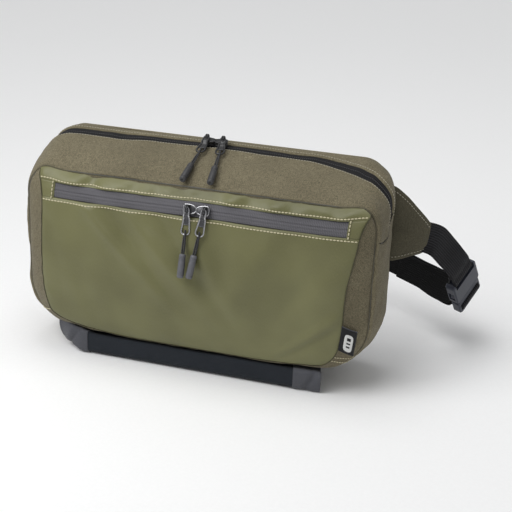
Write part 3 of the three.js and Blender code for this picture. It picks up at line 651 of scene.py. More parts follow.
WEBBING = ribbed("webbing", (0.030, 0.029, 0.033), (0.004, 0.004, 0.0045),
                 rib=2.3, lift=0.6, cross=1.5, sheen=0.04)
NICKEL = metal("nickel", (0.50, 0.50, 0.52), 0.2)
# a darker copy of the nickel for the front sliders' body, bridge and puller plate: painted shade and dark
# reflections in their recesses
NICKEL_PAINTED_SHADE = metal("nickel_shadow", (0.10, 0.10, 0.105), 0.3)
BLACK_METAL = metal("black_metal", (0.013, 0.013, 0.014), 0.42, metallic=0.0, coat=0.3)
CORD = ribbed("cord", (0.05, 0.05, 0.053), (0.018, 0.018, 0.02), rib=0.5, lift=0.15, cross=0.8)
GRIP = plastic("grip_rubber", (0.098, 0.099, 0.110), 0.5)
GRIP_DARK = plastic("grip_rubber_dark", (0.036, 0.036, 0.038), 0.45)
BUCKLE = plastic("buckle_plastic", (0.021, 0.024, 0.037), 0.45)
LABEL = woven("label", (0.016, 0.016, 0.017), (0.009, 0.009, 0.01),
              yarn=0.25, rough=0.7, sheen=0.1, uv=False)
PATCH = woven("label_patch", (0.80, 0.80, 0.78), (0.68, 0.68, 0.66), yarn=0.25, rough=0.75, uv=False)
# dark canvas for the tube along the front panel's edge: a painted shadow line in the seam
PANEL_SEAM_SHADOW = woven("panel_edge_shadow", (0.098, 0.090, 0.050), (0.050, 0.045, 0.026), uv=False)
# dark canvas for the thin tubes in the side seams: a painted shadow line
SEAM_SHADOW_CANVAS = woven("canvas_shadow", (0.05, 0.045, 0.032), (0.03, 0.027, 0.02), uv=False)
# a darker copy of the canvas for the welt in the front groove: painted shade under the lip
WELT_SHADED = woven("canvas_welt_shaded", (0.150, 0.132, 0.083), (0.066, 0.058, 0.036), uv=False)
CREAM = thread("thread_cream", (0.66, 0.60, 0.40))
PALE = thread("thread_khaki", (0.46, 0.43, 0.33))
DARK_THREAD = thread("thread_black", (0.02, 0.02, 0.022))
PAD_MESH = mesh_fabric("mesh_pad", (0.05, 0.05, 0.054), (0.008, 0.008, 0.009))
LINING = woven("lining", (0.11, 0.108, 0.096), (0.075, 0.073, 0.066), yarn=0.3, rough=0.8)


# ---- camera and light -----------------------------------------------------------------------
FLOOR_Z = -0.0006


# fitted to the photograph: angles in degrees, distance, target in mm, focal length in picture widths
CAMERA_AZIMUTH, CAMERA_ELEVATION, CAMERA_ROLL = 16.11, 22.04, 2.24
CAMERA_DISTANCE, CAMERA_TARGET = 1078.9, np.array([48.66, 0, 106.18])
FOCAL_LENGTH, SENSOR = 1153.05 / 512, 36.0


def camera():
    az, el, roll = np.radians([CAMERA_AZIMUTH, CAMERA_ELEVATION, CAMERA_ROLL])
    back = np.array([math.sin(az) * math.cos(el), -math.cos(az) * math.cos(el), math.sin(el)])
    right = unit(np.cross(-back, [0, 0, 1]))
    up = np.cross(right, -back)
    x = right * math.cos(roll) + up * math.sin(roll)
    y = -right * math.sin(roll) + up * math.cos(roll)
    data = bpy.data.cameras.new("camera")
    data.sensor_width, data.lens = SENSOR, SENSOR * FOCAL_LENGTH
    data.clip_start, data.clip_end = 0.05, 20.0
    o = bpy.data.objects.new("camera", data)
    m = np.eye(4)
    m[:3, 0], m[:3, 1], m[:3, 2], m[:3, 3] = x, y, back, (CAMERA_TARGET + back * CAMERA_DISTANCE) * MM
    o.matrix_world = Matrix(m.tolist())
    bpy.context.scene.collection.objects.link(o)
    bpy.context.scene.camera = o


def area_light(name, place, at, size, power):
    data = bpy.data.lights.new(name, "AREA")
    data.shape, data.size, data.energy = "DISK", size, power
    o = bpy.data.objects.new(name, data)
    o.location = place
    o.rotation_euler = (Vector(at) - Vector(place)).to_track_quat("-Z", "Y").to_euler()
    bpy.context.scene.collection.objects.link(o)


def sun(name, towards, strength, spread):
    data = bpy.data.lights.new(name, "SUN")
    data.energy, data.angle = strength, math.radians(spread)
    o = bpy.data.objects.new(name, data)
    o.rotation_euler = Vector(towards).to_track_quat("-Z", "Y").to_euler()
    bpy.context.scene.collection.objects.link(o)


def studio():
    """Soft light on a pale floor whose far rim rises as a cove."""
    world = bpy.data.worlds.new("studio")
    world.use_nodes = True
    world.node_tree.nodes["Background"].inputs[0].default_value = (0.98, 0.99, 1.0, 1)
    world.node_tree.nodes["Background"].inputs[1].default_value = 0.385
    bpy.context.scene.world = world
    bpy.context.scene.view_settings.view_transform = "Standard"
    sun("key", (0.62, 0.66, -1.3), 1.2, 40)
    area_light("top", (-0.1, 0.1, 1.5), (0, 0, 0.1), 0.8, 5)
    area_light("left", (-0.27, -0.36, 0.50), (-0.13, -0.03, 0.16), 0.3, 0.9)
    m = Nodes("floor")
    speck = m.noise(m.place(), 0.4, 2.0)
    m.done(m.mix(m.span(speck, 0.3, 0.7), (0.93, 0.93, 0.93), (0.95, 0.95, 0.95)), 0.8)
    turns = np.linspace(0, 2 * math.pi, 72, endpoint=False)
    cove = [(5.7, 0.03), (6.1, 0.2), (6.35, 0.55), (6.45, 1.6)]
    rings = [[(r * math.cos(a), r * math.sin(a), z) for a in turns]
             for r, z in [(0.01, FLOOR_Z), (5.2, FLOOR_Z)] + cove]
    mesh = bpy.data.meshes.new("floor")
    faces = [list(range(len(turns)))] + quads(len(turns), len(rings), True).tolist()
    mesh.from_pydata([v for ring in rings for v in ring], [], faces)
    mesh.shade_smooth()
    mesh.materials.append(m.material)
    floor = bpy.data.objects.new("floor", mesh)
    bpy.context.scene.collection.objects.link(floor)


camera()
studio()


# ---- main compartment -----------------------------------------------------------------------
def edge_rows(a, b, count, roll):
    """Values from a to b, closer together near both ends, where a cloth's edge is rolled."""
    t = np.linspace(0, 1, count)
    near = np.array([0, 0.15, 0.35, 0.6, 0.85, 1.0]) * roll
    inner = a + (b - a) * t
    sign = np.sign(b - a)
    inner = inner[np.abs(inner - a) > roll]
    return np.unique(np.round(np.concatenate([a + sign * near, b - sign * near, inner]), 4))


def rolled(distance, roll, depth):
    """How far a folded edge dips, at some distance from it."""
    t = np.clip(1 - distance / roll, 0, 1)
    return -depth * (1 - np.sqrt(np.clip(1 - t**2, 0, 1)))


def gusset_patch(name, front_edge, rear_edge, upper, rolls, **kw):
    """Part of the gusset between two edges: the zipped top, or the sides and bottom. An edge is a
    depth, or -1 or 1 for that side of the zip. rolls: how deep the two edges are folded in."""
    def edge(e, x):
        return zip_y(x) + e * zip_half(x) if e in (-1, 1) else np.full(np.shape(x), float(e))

    *ends, (y0, y1) = [[float(edge(e, x)) for e in (front_edge, rear_edge)] for x in (-172.0, 172.0, 0.0)]
    rows = edge_rows(y0, y1, max(8, int(abs(y1 - y0) / 2.0)), 2.4)
    t = (rows - y0) / (y1 - y0)
    left, right = (split(y, seam_z(y))[:, None] for y in (a + (b - a) * t for a, b in ends))
    right = 3 - right
    a = np.linspace(0, 1, 480 if upper else 560)
    s = left + a * (right - left) if upper else right + a * (8 + left - right)
    y = np.broadcast_to(rows[:, None], s.shape)
    for _ in range(3):
        x = outline_at(s, *station(np.maximum(y, SEAM_Y)))[0][..., 0]
        ya, yb = edge(front_edge, x), edge(rear_edge, x)
        y = ya + (yb - ya) * t[:, None]
    z = outline_at(s, *station(np.maximum(y, SEAM_Y)))[0][..., 1]
    dip = rolled(y - ya, 2.4, rolls[0]) + rolled(yb - y, 2.4, rolls[1])
    dip = dip + rolled(np.abs(z - seam_z(y)), 2.6, 1.3) * (np.abs(x) > 150)
    cloth(name, gusset(s, y, dip), CANVAS, from_axis, thick=1.3, slot="canvas", **kw)


def main_body():
    gusset_patch("canvas_top_front", LIP_END, -1, True, (0, 1.6), replaces=["gusset_top_front"])
    gusset_patch("canvas_top_rear", 1, BACK_Y - 0.4, True, (1.6, 0), replaces=["gusset_top_rear"])
    gusset_patch("canvas_lower", LIP_END, BACK_Y - 0.4, False, (0, 0), replaces=["gusset_lower"])


ZIP_END_Z, ZIP_COUNT = 158.0, 460      # the height of the main zip's ends, and points along it


def top_zip():
    """The main zip: two sewn tapes, with the coil's two rows of turned loops between them."""
    t = np.linspace(-1, 1, 41)[:, None]
    left = split(np.array([2.0]), ZIP_END_Z)[0]
    s = np.broadcast_to(left + np.linspace(0, 1, ZIP_COUNT) * (3 - 2 * left), (len(t), ZIP_COUNT))
    y = np.full(s.shape, 20.0)
    for _ in range(3):
        x = outline_at(s, *station(y))[0][..., 0]
        y = zip_y(x) + t * (zip_half(x) + 1.5)
    d = np.abs(y - zip_y(x))
    ridge = 0.8 * hill(d - 1.2, 0.8) - 0.3 * hill(d, 0.3)
    p = gusset(s, y, -1.5 + ridge)
    cloth("zip_tape_top", p, TAPE_BLACK, from_axis, thick=0.8, slot="zip_tape_black",
          replaces=["top_zip_tape"])


def gusset_line(offset, out, low=ZIP_END_Z):
    """A line along the top of the gusset beside the zip, with its outward directions."""
    left = split(np.array([2.0]), low)[0]
    s = np.linspace(left, 3 - left, ZIP_COUNT)
    y = np.full(ZIP_COUNT, 20.0)
    for _ in range(3):
        x = outline_at(s, *station(y))[0][:, 0]
        y = zip_y(x) + offset + np.sign(offset) * zip_half(x)
    _, n = outline_at(s, *station(y))
    return gusset(s, y, out), upright(n, 0)


def top_zip_teeth():
    """The loops of the main zip's coil, as one mesh of small slanted bars."""
    pitch = 1.9
    line, ups = gusset_line(0.0, -1.3, low=166)
    s = travelled(line)
    verts, faces = [], []
    box = np.array([[x, y, z] for x in (-1, 1) for y in (-1, 1) for z in (-1, 1)], float)
    cube = np.array([[0, 1, 3, 2], [4, 6, 7, 5], [0, 4, 5, 1], [2, 3, 7, 6], [0, 2, 6, 4], [1, 5, 7, 3]])
    for k, at in enumerate(np.arange(pitch, s[-1] - pitch, pitch / 2)):
        side = 1 if k % 2 else -1
        p, up = (np.array([np.interp(at, s, v[:, c]) for c in range(3)]) for v in (line, ups))
        up = unit(up)
        ac = unit(np.array([0.0, 1, 0]) - up * up[1])
        t = np.cross(ac, up)
        c = p + ac * side * 0.75
        faces += (cube + len(verts) * 8).tolist()
        verts.append(c + box @ np.stack([t * 0.36, (ac + 0.25 * side * t) * 1.05, up * 0.38]))
    o = thing("coil_top", np.vstack(verts), faces, COIL, slot="zip_coil", replaces=["top_zip_coil"])
    bevel(o, 0.22)


def seam_welt():
    """The welt sewn in the groove between the main gusset and the pocket, in a darker copy of the canvas:
    painted shade in the groove under the lip.
    """
    s = np.linspace(0, 8, 420, endpoint=False)
    p, _ = outline_at(s, SEAM_W - 6.6, BODY_BOTTOM + 3.8, SEAM_TOP - 3.6, 22.7, 43.7)
    tube("seam_welt", ears(upright(p, SEAM_Y - 1.4)), 1.0, WELT_SHADED, sides=8, closed=True, slot="canvas",
         replaces=["front_piping"])
    # the short seams down both sides, where the zipped top is sewn to the lower part: thin tubes of dark
    # canvas laid in them, a painted shadow line
    y = np.linspace(SEAM_Y + 1.3, 7.5, 60)
    left = split(y, seam_z(y))
    for name, side in (("seam_shadow_left", left), ("seam_shadow_right", 3 - left)):
        tube(name, gusset(side, y, -0.55), 0.5, SEAM_SHADOW_CANVAS, sides=6, slot="canvas")


def back():
    s = np.linspace(0, 8, 360, endpoint=False)
    p, _ = outline_at(s, 322.0, 22.0, 203.0, 24.0, 46.0)
    centre = np.array([0, 112.0])
    rolled_edge = [(1.0, 35.9), (1.006, 36.8), (1.0, 37.8), (0.985, 38.1)]
    flat = [(f, 38.2) for f in (0.9, 0.7, 0.4, 0.05)]
    rows = np.array([upright(centre + (p - centre) * f, y) for f, y in rolled_edge + flat])
    cloth("canvas_back", rows, CANVAS, BACKWARDS, thick=1.0, wrap=True, slot="canvas",
          replaces=["back_panel"])
    back_pad()
    # the wall between the two compartments, which isn't seen from outside
    recolour("divider_wall", LINING)


# ---- back padding ---------------------------------------------------------------------------
PAD_LOW_Y, PAD_TOP_Y, PAD_CHANNELS = 38.5, 44.6, (-50.0, 50.0)
AIR_FRAMES, AIR_REACH = 20, 4.6


def baked(o):
    """Makes what the modifiers give the object's own mesh, and takes them off."""
    graph = bpy.context.evaluated_depsgraph_get()
    mesh = bpy.data.meshes.new_from_object(o.evaluated_get(graph), depsgraph=graph)
    o.modifiers.clear()
    o.data = mesh
    return o


def points_of(mesh):
    p = np.zeros(len(mesh.vertices) * 3)
    mesh.vertices.foreach_get("co", p)
    return p.reshape(-1, 3) / MM


def blown_up(o, cap, held, voxel=4.0, pressure=4.0):
    """Fills a closed piece with air as cloth. No point moves over cap mm, and held says which stay."""
    m = o.modifiers.new("remesh", "REMESH")
    m.mode, m.voxel_size = "VOXEL", voxel * MM
    baked(o)
    start = points_of(o.data)
    o.vertex_groups.new(name="held").add([int(i) for i in np.nonzero(held(start))[0]], 1.0, "REPLACE")
    settings = o.modifiers.new("air", "CLOTH").settings
    settings.use_pressure, settings.uniform_pressure_force = True, pressure
    settings.vertex_group_mass = "held"
    settings.effector_weights.gravity = 0
    for f in range(1, AIR_FRAMES + 1):
        bpy.context.scene.frame_set(f)
    end = points_of(o.evaluated_get(bpy.context.evaluated_depsgraph_get()).data)
    o.modifiers.clear()
    bpy.context.scene.frame_set(1)
    move = end - start
    far = np.linalg.norm(move, axis=1, keepdims=True)
    start = start + move * np.minimum(1, cap / np.maximum(far, 1e-6))
    o.data.vertices.foreach_set("co", (start * MM).ravel())
    m = o.modifiers.new("smooth", "SUBSURF")
    m.levels = m.render_levels = 1
    return baked(o)


def channel(x, z):
    """A sewn channel of the pad, which wavers a little on its way up."""
    return x + 3 * np.sin((z - 110) / 40)


def back_pad():
    """The padded mesh panel on the back, with two sewn channels and a bound edge."""
    s = np.linspace(0, 8, 240, endpoint=False)
    rows = []
    for f, inset in ((0, 0.6), (0.35, 0.4), (0.7, 1.8), (1.0, 5.0)):
        p, _ = outline_at(s, 288.0 - 2 * inset, 42.0 + inset, 181.0 - inset, 30.0 - inset, 34.0 - inset)
        rows.append(upright(p, PAD_LOW_Y + (PAD_TOP_Y - PAD_LOW_Y) * f))
    o = thing("pad_back", rows, loft(len(s), len(rows)), PAD_MESH, slot="mesh_pad", replaces=["back_pad"])
    blown_up(o, AIR_REACH, lambda q: q[:, 1] < PAD_LOW_Y + 1.2)
    q = points_of(o.data)
    sewn = sum(np.exp(-np.abs((q[:, 0] - channel(x, q[:, 2])) / 4.2) ** 1.5) for x in PAD_CHANNELS)
    q[:, 1] -= np.clip(q[:, 1] - PAD_LOW_Y - 1.6, 0, None) * 0.8 * np.clip(sewn, 0, 1)
    o.data.vertices.foreach_set("co", (q * MM).ravel())
    o.data.shade_smooth()
    edge, _ = outline_at(np.linspace(0, 8, 300, endpoint=False), 291.0, 40.6, 182.4, 31.0, 35.0)
    # the binding is in the webbing's darker copy, which is painted shade
    tube("pad_binding", upright(edge, PAD_LOW_Y + 1.0), 1.5, WEBBING_SHADED, closed=True, slot="webbing")
    z = np.linspace(52, 171, 80)
    lines = [(upright(np.stack([channel(x, z), z], 1), PAD_LOW_Y + 3.2), BACKWARDS) for x in PAD_CHANNELS]
    stitches("thread_pad", lines, DARK_THREAD, "mesh_pad", pitch=3.4, length=2.6, radius=0.4)


# ---- front pocket ---------------------------------------------------------------------------
def resampled(points, count):
    """Evenly spaced points along straight runs, without the last one."""
    d = travelled(points)
    at = np.linspace(0, d[-1], count, endpoint=False)
    return np.stack([np.interp(at, d, points[:, k]) for k in range(points.shape[1])], 1)


def panel_edge(count):
    """The front panel's edge, (x, z), as four runs: top, right, bottom and left."""
    down = np.concatenate([np.linspace(PANEL_TALL, 60, 90), np.linspace(60, PANEL_LOW, 140)])
    right = np.stack([half_width(down, 1), down], 1)
    left = np.stack([-half_width(down, -1), down], 1)
    low_r, low_l = np.argmin(np.abs(down - 39)), np.argmin(np.abs(down - 41))
    top = np.array([left[0], right[0]])
    bottom = np.concatenate([right[low_r:], left[low_l:][::-1]])
    runs = [top, right[:low_r + 1], bottom, left[:low_l + 1][::-1]]
    return np.concatenate([resampled(r, count) for r in runs])


def pocket_side():
    """The front pocket's gusset, from the welt to the panel's edge."""
    count = 170
    fine = np.linspace(0.5, 8.5, 4001)
    rim, n = outline_at(fine, SEAM_W - 4.6, BODY_BOTTOM + 2.6, SEAM_TOP - 3.4, 23.7, 44.7)
    both = np.concatenate([rim, n], 1)
    both = np.concatenate([resampled(both[k * 1000:(k + 1) * 1000 + 1], count) for k in range(4)])
    rim, n = both[:, :2], both[:, 2:]
    edge = panel_edge(count)
    rows = []
    for f in np.linspace(0, 1, 18):
        depth = pocket_depth(edge[:, 1])
        q = upright(rim * (1 - f) + edge * f, SEAM_Y - 1.2 - (depth + 1.3) * f)
        bow = np.sin(np.pi * f) * (2.2 + 0.6 * waves(q, 60, 31)) * smooth(depth, 2, 10)
        turn = np.linspace(0, 4 * count, 4 * count) / 5.0
        low = 1 - smooth(q[:, 2], 24, 78)
        bow = bow + np.sin(np.pi * f) * (0.6 * low + 0.12) * np.sin(turn + 2 * waves(q, 50, 33))
        bow = bow - (1.5 + 1.3 * smooth(q[:, 2], 140, 165)) * np.exp(-f / 0.08)
        rows.append(ears(q + upright(n * bow[:, None], 0.35 * waves(q, 24, 32) * np.sin(np.pi * f))))
    p = np.array(rows)
    cloth("canvas_pocket_side", p, CANVAS, from_axis, thick=1.1, wrap=True, slot="canvas",
          replaces=["pocket_gusset"])
    middle = edge.mean(0)
    out = (edge - middle) / np.linalg.norm(edge - middle, axis=1)[:, None]
    # a thin tube of dark canvas along the panel's sides and bottom: a painted shadow line in the seam
    line = upright(edge, POCKET_Y - pocket_depth(edge[:, 1]) - 0.5)
    line = line + upright(out, 0) * (0.35 + 0.3 * waves(line, 14, 34))[:, None]
    tube("panel_seam_shadow_line", ears(line)[count + 6:-6], 0.42, PANEL_SEAM_SHADOW, sides=6, slot="canvas")
    # tacks across the lower corners
    lines = []
    for spot, gaps in (((-137.2, 42.8), (0,)), ((139.2, 39.8), (-2, 3))):
        k = int(np.argmin(np.linalg.norm(edge - spot, axis=1)))
        for g in gaps:
            up = np.array([n[k, 0], -0.5, n[k, 1]])
            lines.append((p[1:, k + g] + unit(up) * 0.35, unit(up)))
    stitches("thread_corners", lines, CREAM, "canvas", pitch=2.7, length=2.3, radius=0.5)


def hem_waver(p):
    """The front zip's edges waver a little along their length."""
    x = p[..., 0]
    near = np.exp(-np.abs(p[..., 2] - FRONT_ZIP_Z) / 12) * (1 - (np.abs(x) / 152) ** 2).clip(0, 1)
    p[..., 2] += (0.5 * np.sin(x / 31 + 1) + 0.35 * np.sin(x / 13)) * near
    return p


def panel_patch(name, z0, z1, fold0, fold1, replaces):
    """A stretch of the front panel. fold0 and fold1: whether its lower and upper edges are folded hems."""
    close = np.array([0, 0.2, 0.5, 0.9, 1.4, 2.0])
    even = np.linspace(z0, z1, max(8, int((z1 - z0) / 1.5)))
    low = z0 + np.linspace(0, 16, 34) if z0 < 40 else z0 + close
    zs = np.unique(np.concatenate([even, low, z1 - close]))
    t = np.linspace(-1, 1, 340)
    t = np.sign(t) * (1 - (1 - np.abs(t)) ** 1.1)
    x = half_width(zs[:, None], t[None]) * t
    z = np.broadcast_to(zs[:, None], x.shape)
    dip = fold0 * rolled(z - z0, 1.9, 1.1) + fold1 * rolled(z1 - z, 1.9, 1.1)
    p = hem_waver(front(x, z, dip))
    cloth(name, p, NYLON, FRONTWARDS, thick=1.0, slot="olive_nylon", replaces=replaces)


def front_panel():
    panel_patch("nylon_lower", PANEL_LOW, ZIP_LOW, False, True, ["front_panel_lower"])
    panel_patch("nylon_upper", ZIP_HIGH, PANEL_TALL, True, False, ["front_panel_upper"])
    for end, side, start in (("left", -1, WINDOW[0]), ("right", 1, WINDOW[1])):
        zs = np.linspace(ZIP_LOW - 0.4, ZIP_HIGH + 0.4, 12)
        x = start + (side * half_width(zs, side)[:, None] - side * 0.2 - start) * np.linspace(0, 1, 16) ** 1.3
        z = np.broadcast_to(zs[:, None], x.shape)
        p = hem_waver(front(x, z, rolled(np.abs(x - start), 1.8, 0.9) - 0.35))
        cloth("nylon_end_" + end, p, NYLON, FRONTWARDS, thick=0.9, slot="olive_nylon",
              replaces=["front_zip_end_" + end])


def front_zip():
    """The front zip's tape, with the reversed coil's ridges in it."""
    zs = np.linspace(ZIP_LOW - 1.6, ZIP_HIGH + 1.6, 49)
    x, z = np.meshgrid(np.linspace(WINDOW[0] - 2.5, WINDOW[1] + 2.5, 300), zs)
    d = np.abs(z - FRONT_ZIP_Z)
    ridge = 0.35 * hill(d - 1.5, 0.8) - 0.4 * hill(d, 0.3) + 0.12 * hill(d - 4.2, 0.4)
    ridge = ridge - 1.5 * smooth(d, 5.7, 7.6)
    y = POCKET_Y - pocket_depth(z) - swelling(np.abs(x) / 150, z) - ridge
    p = ears(np.stack([x, y, z + 0.45 * np.sin(x / 31 + 1)], -1))
    cloth("zip_tape_front", p, TAPE_GREY, FRONTWARDS, thick=0.7, slot="zip_tape_grey",
          replaces=["front_zip_tape"])
    recolour("front_zip_coil", COIL)


# ---- sleeve under the body ------------------------------------------------------------------
def sleeve_section(count, inset=0.0, rise=0.0):
    """Points round the flattened tube, (y, z), and outward directions."""
    y0, y1, z0, z1 = SLEEVE_Y0 + inset, SLEEVE_Y1 - inset, inset, SLEEVE_TOP - inset
    s = np.linspace(0, 8, count, endpoint=False)
    p, n = outline_at(s, y1 - y0, z0, z1, 6.0 - inset, 6.0 - inset)
    p = p + [(y0 + y1) / 2, 0]
    # its front reaches up to the bottom of the pocket
    p[:, 1] += p[:, 1] / SLEEVE_TOP * (6.8 + rise) * np.clip((-38.5 - p[:, 0]) / 11.5, 0, 1)
    return p, n


def sleeve_part(name, x0, x1, material, slot, node, inset=0.0, mouth=None):
    """A length of the sleeve from x0 to x1. Both its ends lean in towards the back."""
    xs = edge_rows(x0, x1, max(12, int(abs(x1 - x0) / 2.2)), 2.0)
    rows = []
    for x in xs:
        base, n = sleeve_section(220, inset, 12.5 * float(smooth(-x, 92, 134)))
        q = np.stack([np.full(len(base), x), base[:, 0], base[:, 1]], 1)
        push = 0.5 * waves(q, 52, 41) + 0.2 * waves(q, 17, 42) - 0.4
        down = smooth(-n[:, 1], -0.2, 0.9)
        edge = rolled(abs(x - x0), 1.6, 0.5) + rolled(abs(x1 - x), 1.6, 0.5)
        q[:, 1] += n[:, 0] * (push * (1 - down) + edge)
        q[:, 2] += n[:, 1] * (push * (1 - down) + edge) * (1 - 0.9 * down)
        q = mouth(q) if mouth else q
        q[:, 0] -= np.sign(x) * 0.34 * (q[:, 1] + 50) * smooth(min(abs(x), SLEEVE_CLOTH_HALF), 55, 126)
        rows.append(q)
    cloth(name, np.array(rows), material, lambda c: (c - [0, -13, 9.4]) * [0, 0.2, 1], thick=1.4,
          wrap=True, slot=slot, replaces=[node])


def left_mouth(q):
    """The left cuff's end is rounded like a scoop, with a fold across its front."""
    share = np.clip((-q[:, 0] - CUFF_START) / (CUFF_LEFT_END - CUFF_START), 0, 1)
    rise = np.clip(q[:, 2] / 24.0, 0, 1)
    q[:, 0] = -CUFF_START - share * (13.0 + 24.5 * np.sqrt(1 - (1 - rise) ** 2))
    front_side = smooth(-q[:, 1], 40, 50)
    crease = hill(q[:, 0] + 117 - 0.7 * (q[:, 2] - 17), 2.2)
    bulge = hill(q[:, 0] + 123 - 0.7 * (q[:, 2] - 17), 3.6)
    q[:, 1] += front_side * (1.8 * crease - 0.9 * bulge - 0.6 * hill(q[:, 0] + 109, 4.5))
    q[:, 1] += 0.26 * smooth(share, 0.2, 1.0) * (-q[:, 1] - 8) * smooth(-q[:, 1], 8, 20) * share
    return q


def right_mouth(q):
    """The right cuff is crumpled on its front, with one crease across it."""
    f = np.clip((q[:, 0] - 105) / 24, 0, 1)
    front_side = smooth(-q[:, 1], 30, 48)
    crease = hill(q[:, 0] - 119 - 0.45 * (q[:, 2] - 12), 2.4)
    q[:, 1] += front_side * (1.8 * np.sin(q[:, 2] / 5.5 + 0.5) * f + 2.0 * crease)
    return q


def sleeve():
    half = SLEEVE_CLOTH_HALF
    sleeve_part("sleeve_cloth", -half, half, SLEEVE_CLOTH, "sleeve_fabric", "bottom_sleeve", inset=0.7)
    for side, x0, x1, mouth in (("left", -CUFF_LEFT_END, -CUFF_START, left_mouth),
                                ("right", CUFF_START, CUFF_RIGHT_END, right_mouth)):
        sleeve_part("cuff_" + side, x0, x1, CUFF, "cuff_fabric", "sleeve_cuff_" + side, mouth=mouth)


# ---- seams ----------------------------------------------------------------------------------
def front_line(xs, zs, out=0.1):
    xs, zs = np.broadcast_arrays(np.asarray(xs, float), np.asarray(zs, float))
    return hem_waver(front(xs, zs, out)), np.array([0.0, -1, 0.15])


def topstitching():
    lines = []
    for z in (ZIP_LOW - 2.3, ZIP_HIGH + 2.3):
        reach = [side * (float(half_width(z, side)) - 1.0) for side in (-1, 1)]
        lines.append(front_line(np.linspace(*reach, 320), z))
    for x in (WINDOW[0] - 1.9, WINDOW[1] + 1.9):
        lines.append(front_line(np.full(20, x), np.linspace(ZIP_LOW - 1.2, ZIP_HIGH + 1.6, 20), 0.45))
    stitches("thread_front_zip", lines, CREAM, "olive_nylon", pitch=3.1, length=2.75, radius=0.52)
    top = [gusset_line(side * 2.1, 0.05) for side in (-1, 1)]
    stitches("thread_top_zip", top, PALE, "canvas", pitch=2.7, length=2.2, radius=0.33)


# ---- wings and belt -------------------------------------------------------------------------
# the right wing from its root to its tip: the middle's x, y and z, height, thickness and lean
WING = np.array([
    [155, 39.2, 143, 72, 1.2, 0], [166, 40.6, 141.4, 74, 5, 0], [177, 46, 137, 64, 8, 0.8],
    [187, 51.5, 132, 49, 8, 1.4], [194.3, 56.6, 127.6, 38, 6.6, 1.8], [199, 60, 125, 29, 4.2, 2.0]], float)


def wing(side, name, node):
    """A padded wing: a lens of cloth over foam, seamed round its edge."""
    t = np.linspace(0, 1, 60)
    cx, cy, cz, height, thick, lean = (curve_through(t, np.linspace(0, 1, 6), WING[:, k]) for k in range(6))
    a = np.linspace(0, 2 * np.pi, 64, endpoint=False)
    rows = []
    for i in range(len(t)):
        up = np.sign(np.sin(a)) * np.abs(np.sin(a)) ** 0.9
        fat = np.cos(a) * (1 - 0.55 * np.abs(np.sin(a)) ** 3)
        q = np.stack([cx[i] + up * lean[i] + 0.42 * fat * thick[i] / 2, cy[i] - 0.9 * fat * thick[i] / 2,
                      cz[i] + up * height[i] / 2], 1)
        q = q + np.outer(0.35 * waves(q, 34, 51) * np.abs(np.cos(a)), [0.42, -0.9, 0])
        rows.append(q)
    p = np.array(rows) * [side, 1, 1]
    # the wing's cloth is the canvas's darker copy: painted shade
    o = thing(name, p, loft(len(a), len(t)), CANVAS_WING_SHADED, uv=lay_uv(p), slot="canvas", replaces=[node])
    facing(o, lambda c: c - [side * 184, 51, 134])
    lines = []
    for sign in (-1, 1):
        e = np.stack([side * (cx + sign * lean * 0.8 + 0.42 * thick * 0.33), cy - 0.9 * thick * 0.36,
                      cz + sign * (height / 2 - 4.5)], 1)
        lines.append((e[4:-2], np.array([0.42 * side, -0.9, 0])))
    stitches(name + "_thread", lines, PALE, "canvas", pitch=3.2, length=2.4, radius=0.3)


def strip(name, points, up0, up1, turn, material, replaces, width=WEB_W, body="bag", step=1.5):
    """Flat webbing along points, its width turning from up0 to up1 over the first mm of its length."""
    p, length = along(points, step=step)
    t = tangents(p)
    s = np.linspace(0, length, len(p))
    f = np.clip(s / turn, 0, 1)[:, None]
    up = np.asarray(up0) * (1 - f) + np.asarray(up1) * f
    up = up - t * (up * t).sum(1, keepdims=True)
    up /= np.linalg.norm(up, axis=1)[:, None]
    n = np.cross(t, up)
    w, h = width / 2, WEB_T / 2
    across = np.concatenate([np.linspace(-w + 0.5, w - 0.5, 15), [w - 0.15, w, w - 0.15]])
    across = np.concatenate([across, -across])
    out = np.concatenate([np.full(15, h), [h * 0.75, 0, -h * 0.75]])
    out = np.concatenate([out, -out])
    rings = p[:, None] + across[None, :, None] * up[:, None] + out[None, :, None] * n[:, None]
    uv = np.stack([np.broadcast_to(across + np.where(out > 0, 0, 60), rings.shape[:2]),
                   np.broadcast_to(s[:, None], rings.shape[:2])], -1)
    return thing(name, rings, loft(len(across), len(p)), material, body=body, slot="webbing",
                 replaces=replaces, uv=uv)


# the buckle's place, and its axes: AX along the belt, AZ out of its face, AY across it
BUCKLE_AT = np.array([229.8, 87.4, 83.5])
AX = unit([0.156, 0.594, -0.789])
AZ = unit(np.array([0.913, -0.392, -0.115]) - AX * (AX @ [0.913, -0.392, -0.115]))
AY = np.cross(AZ, AX)
SLOT_A, SLOT_B = 37.5, 43.2     # the loose half's two bars, along AX


def at_buckle(x, z):
    return BUCKLE_AT + AX * x + AZ * z


# the belt's route behind the bag, from the buckle to the left wing
LOOP_BACK = [[224, 121, 47.5], [208, 131, 49.5], [188, 140.5, 54], [150, 155, 61], [80, 170, 72],
             [0, 175, 82], [-80, 165, 95], [-140, 132, 108], [-182, 85, 118], [-198.4, 64.4, 123.6],
             [-203.4, 61.6, 124], [-200, 60.6, 124.4], [-193, 56.6, 127.2]]


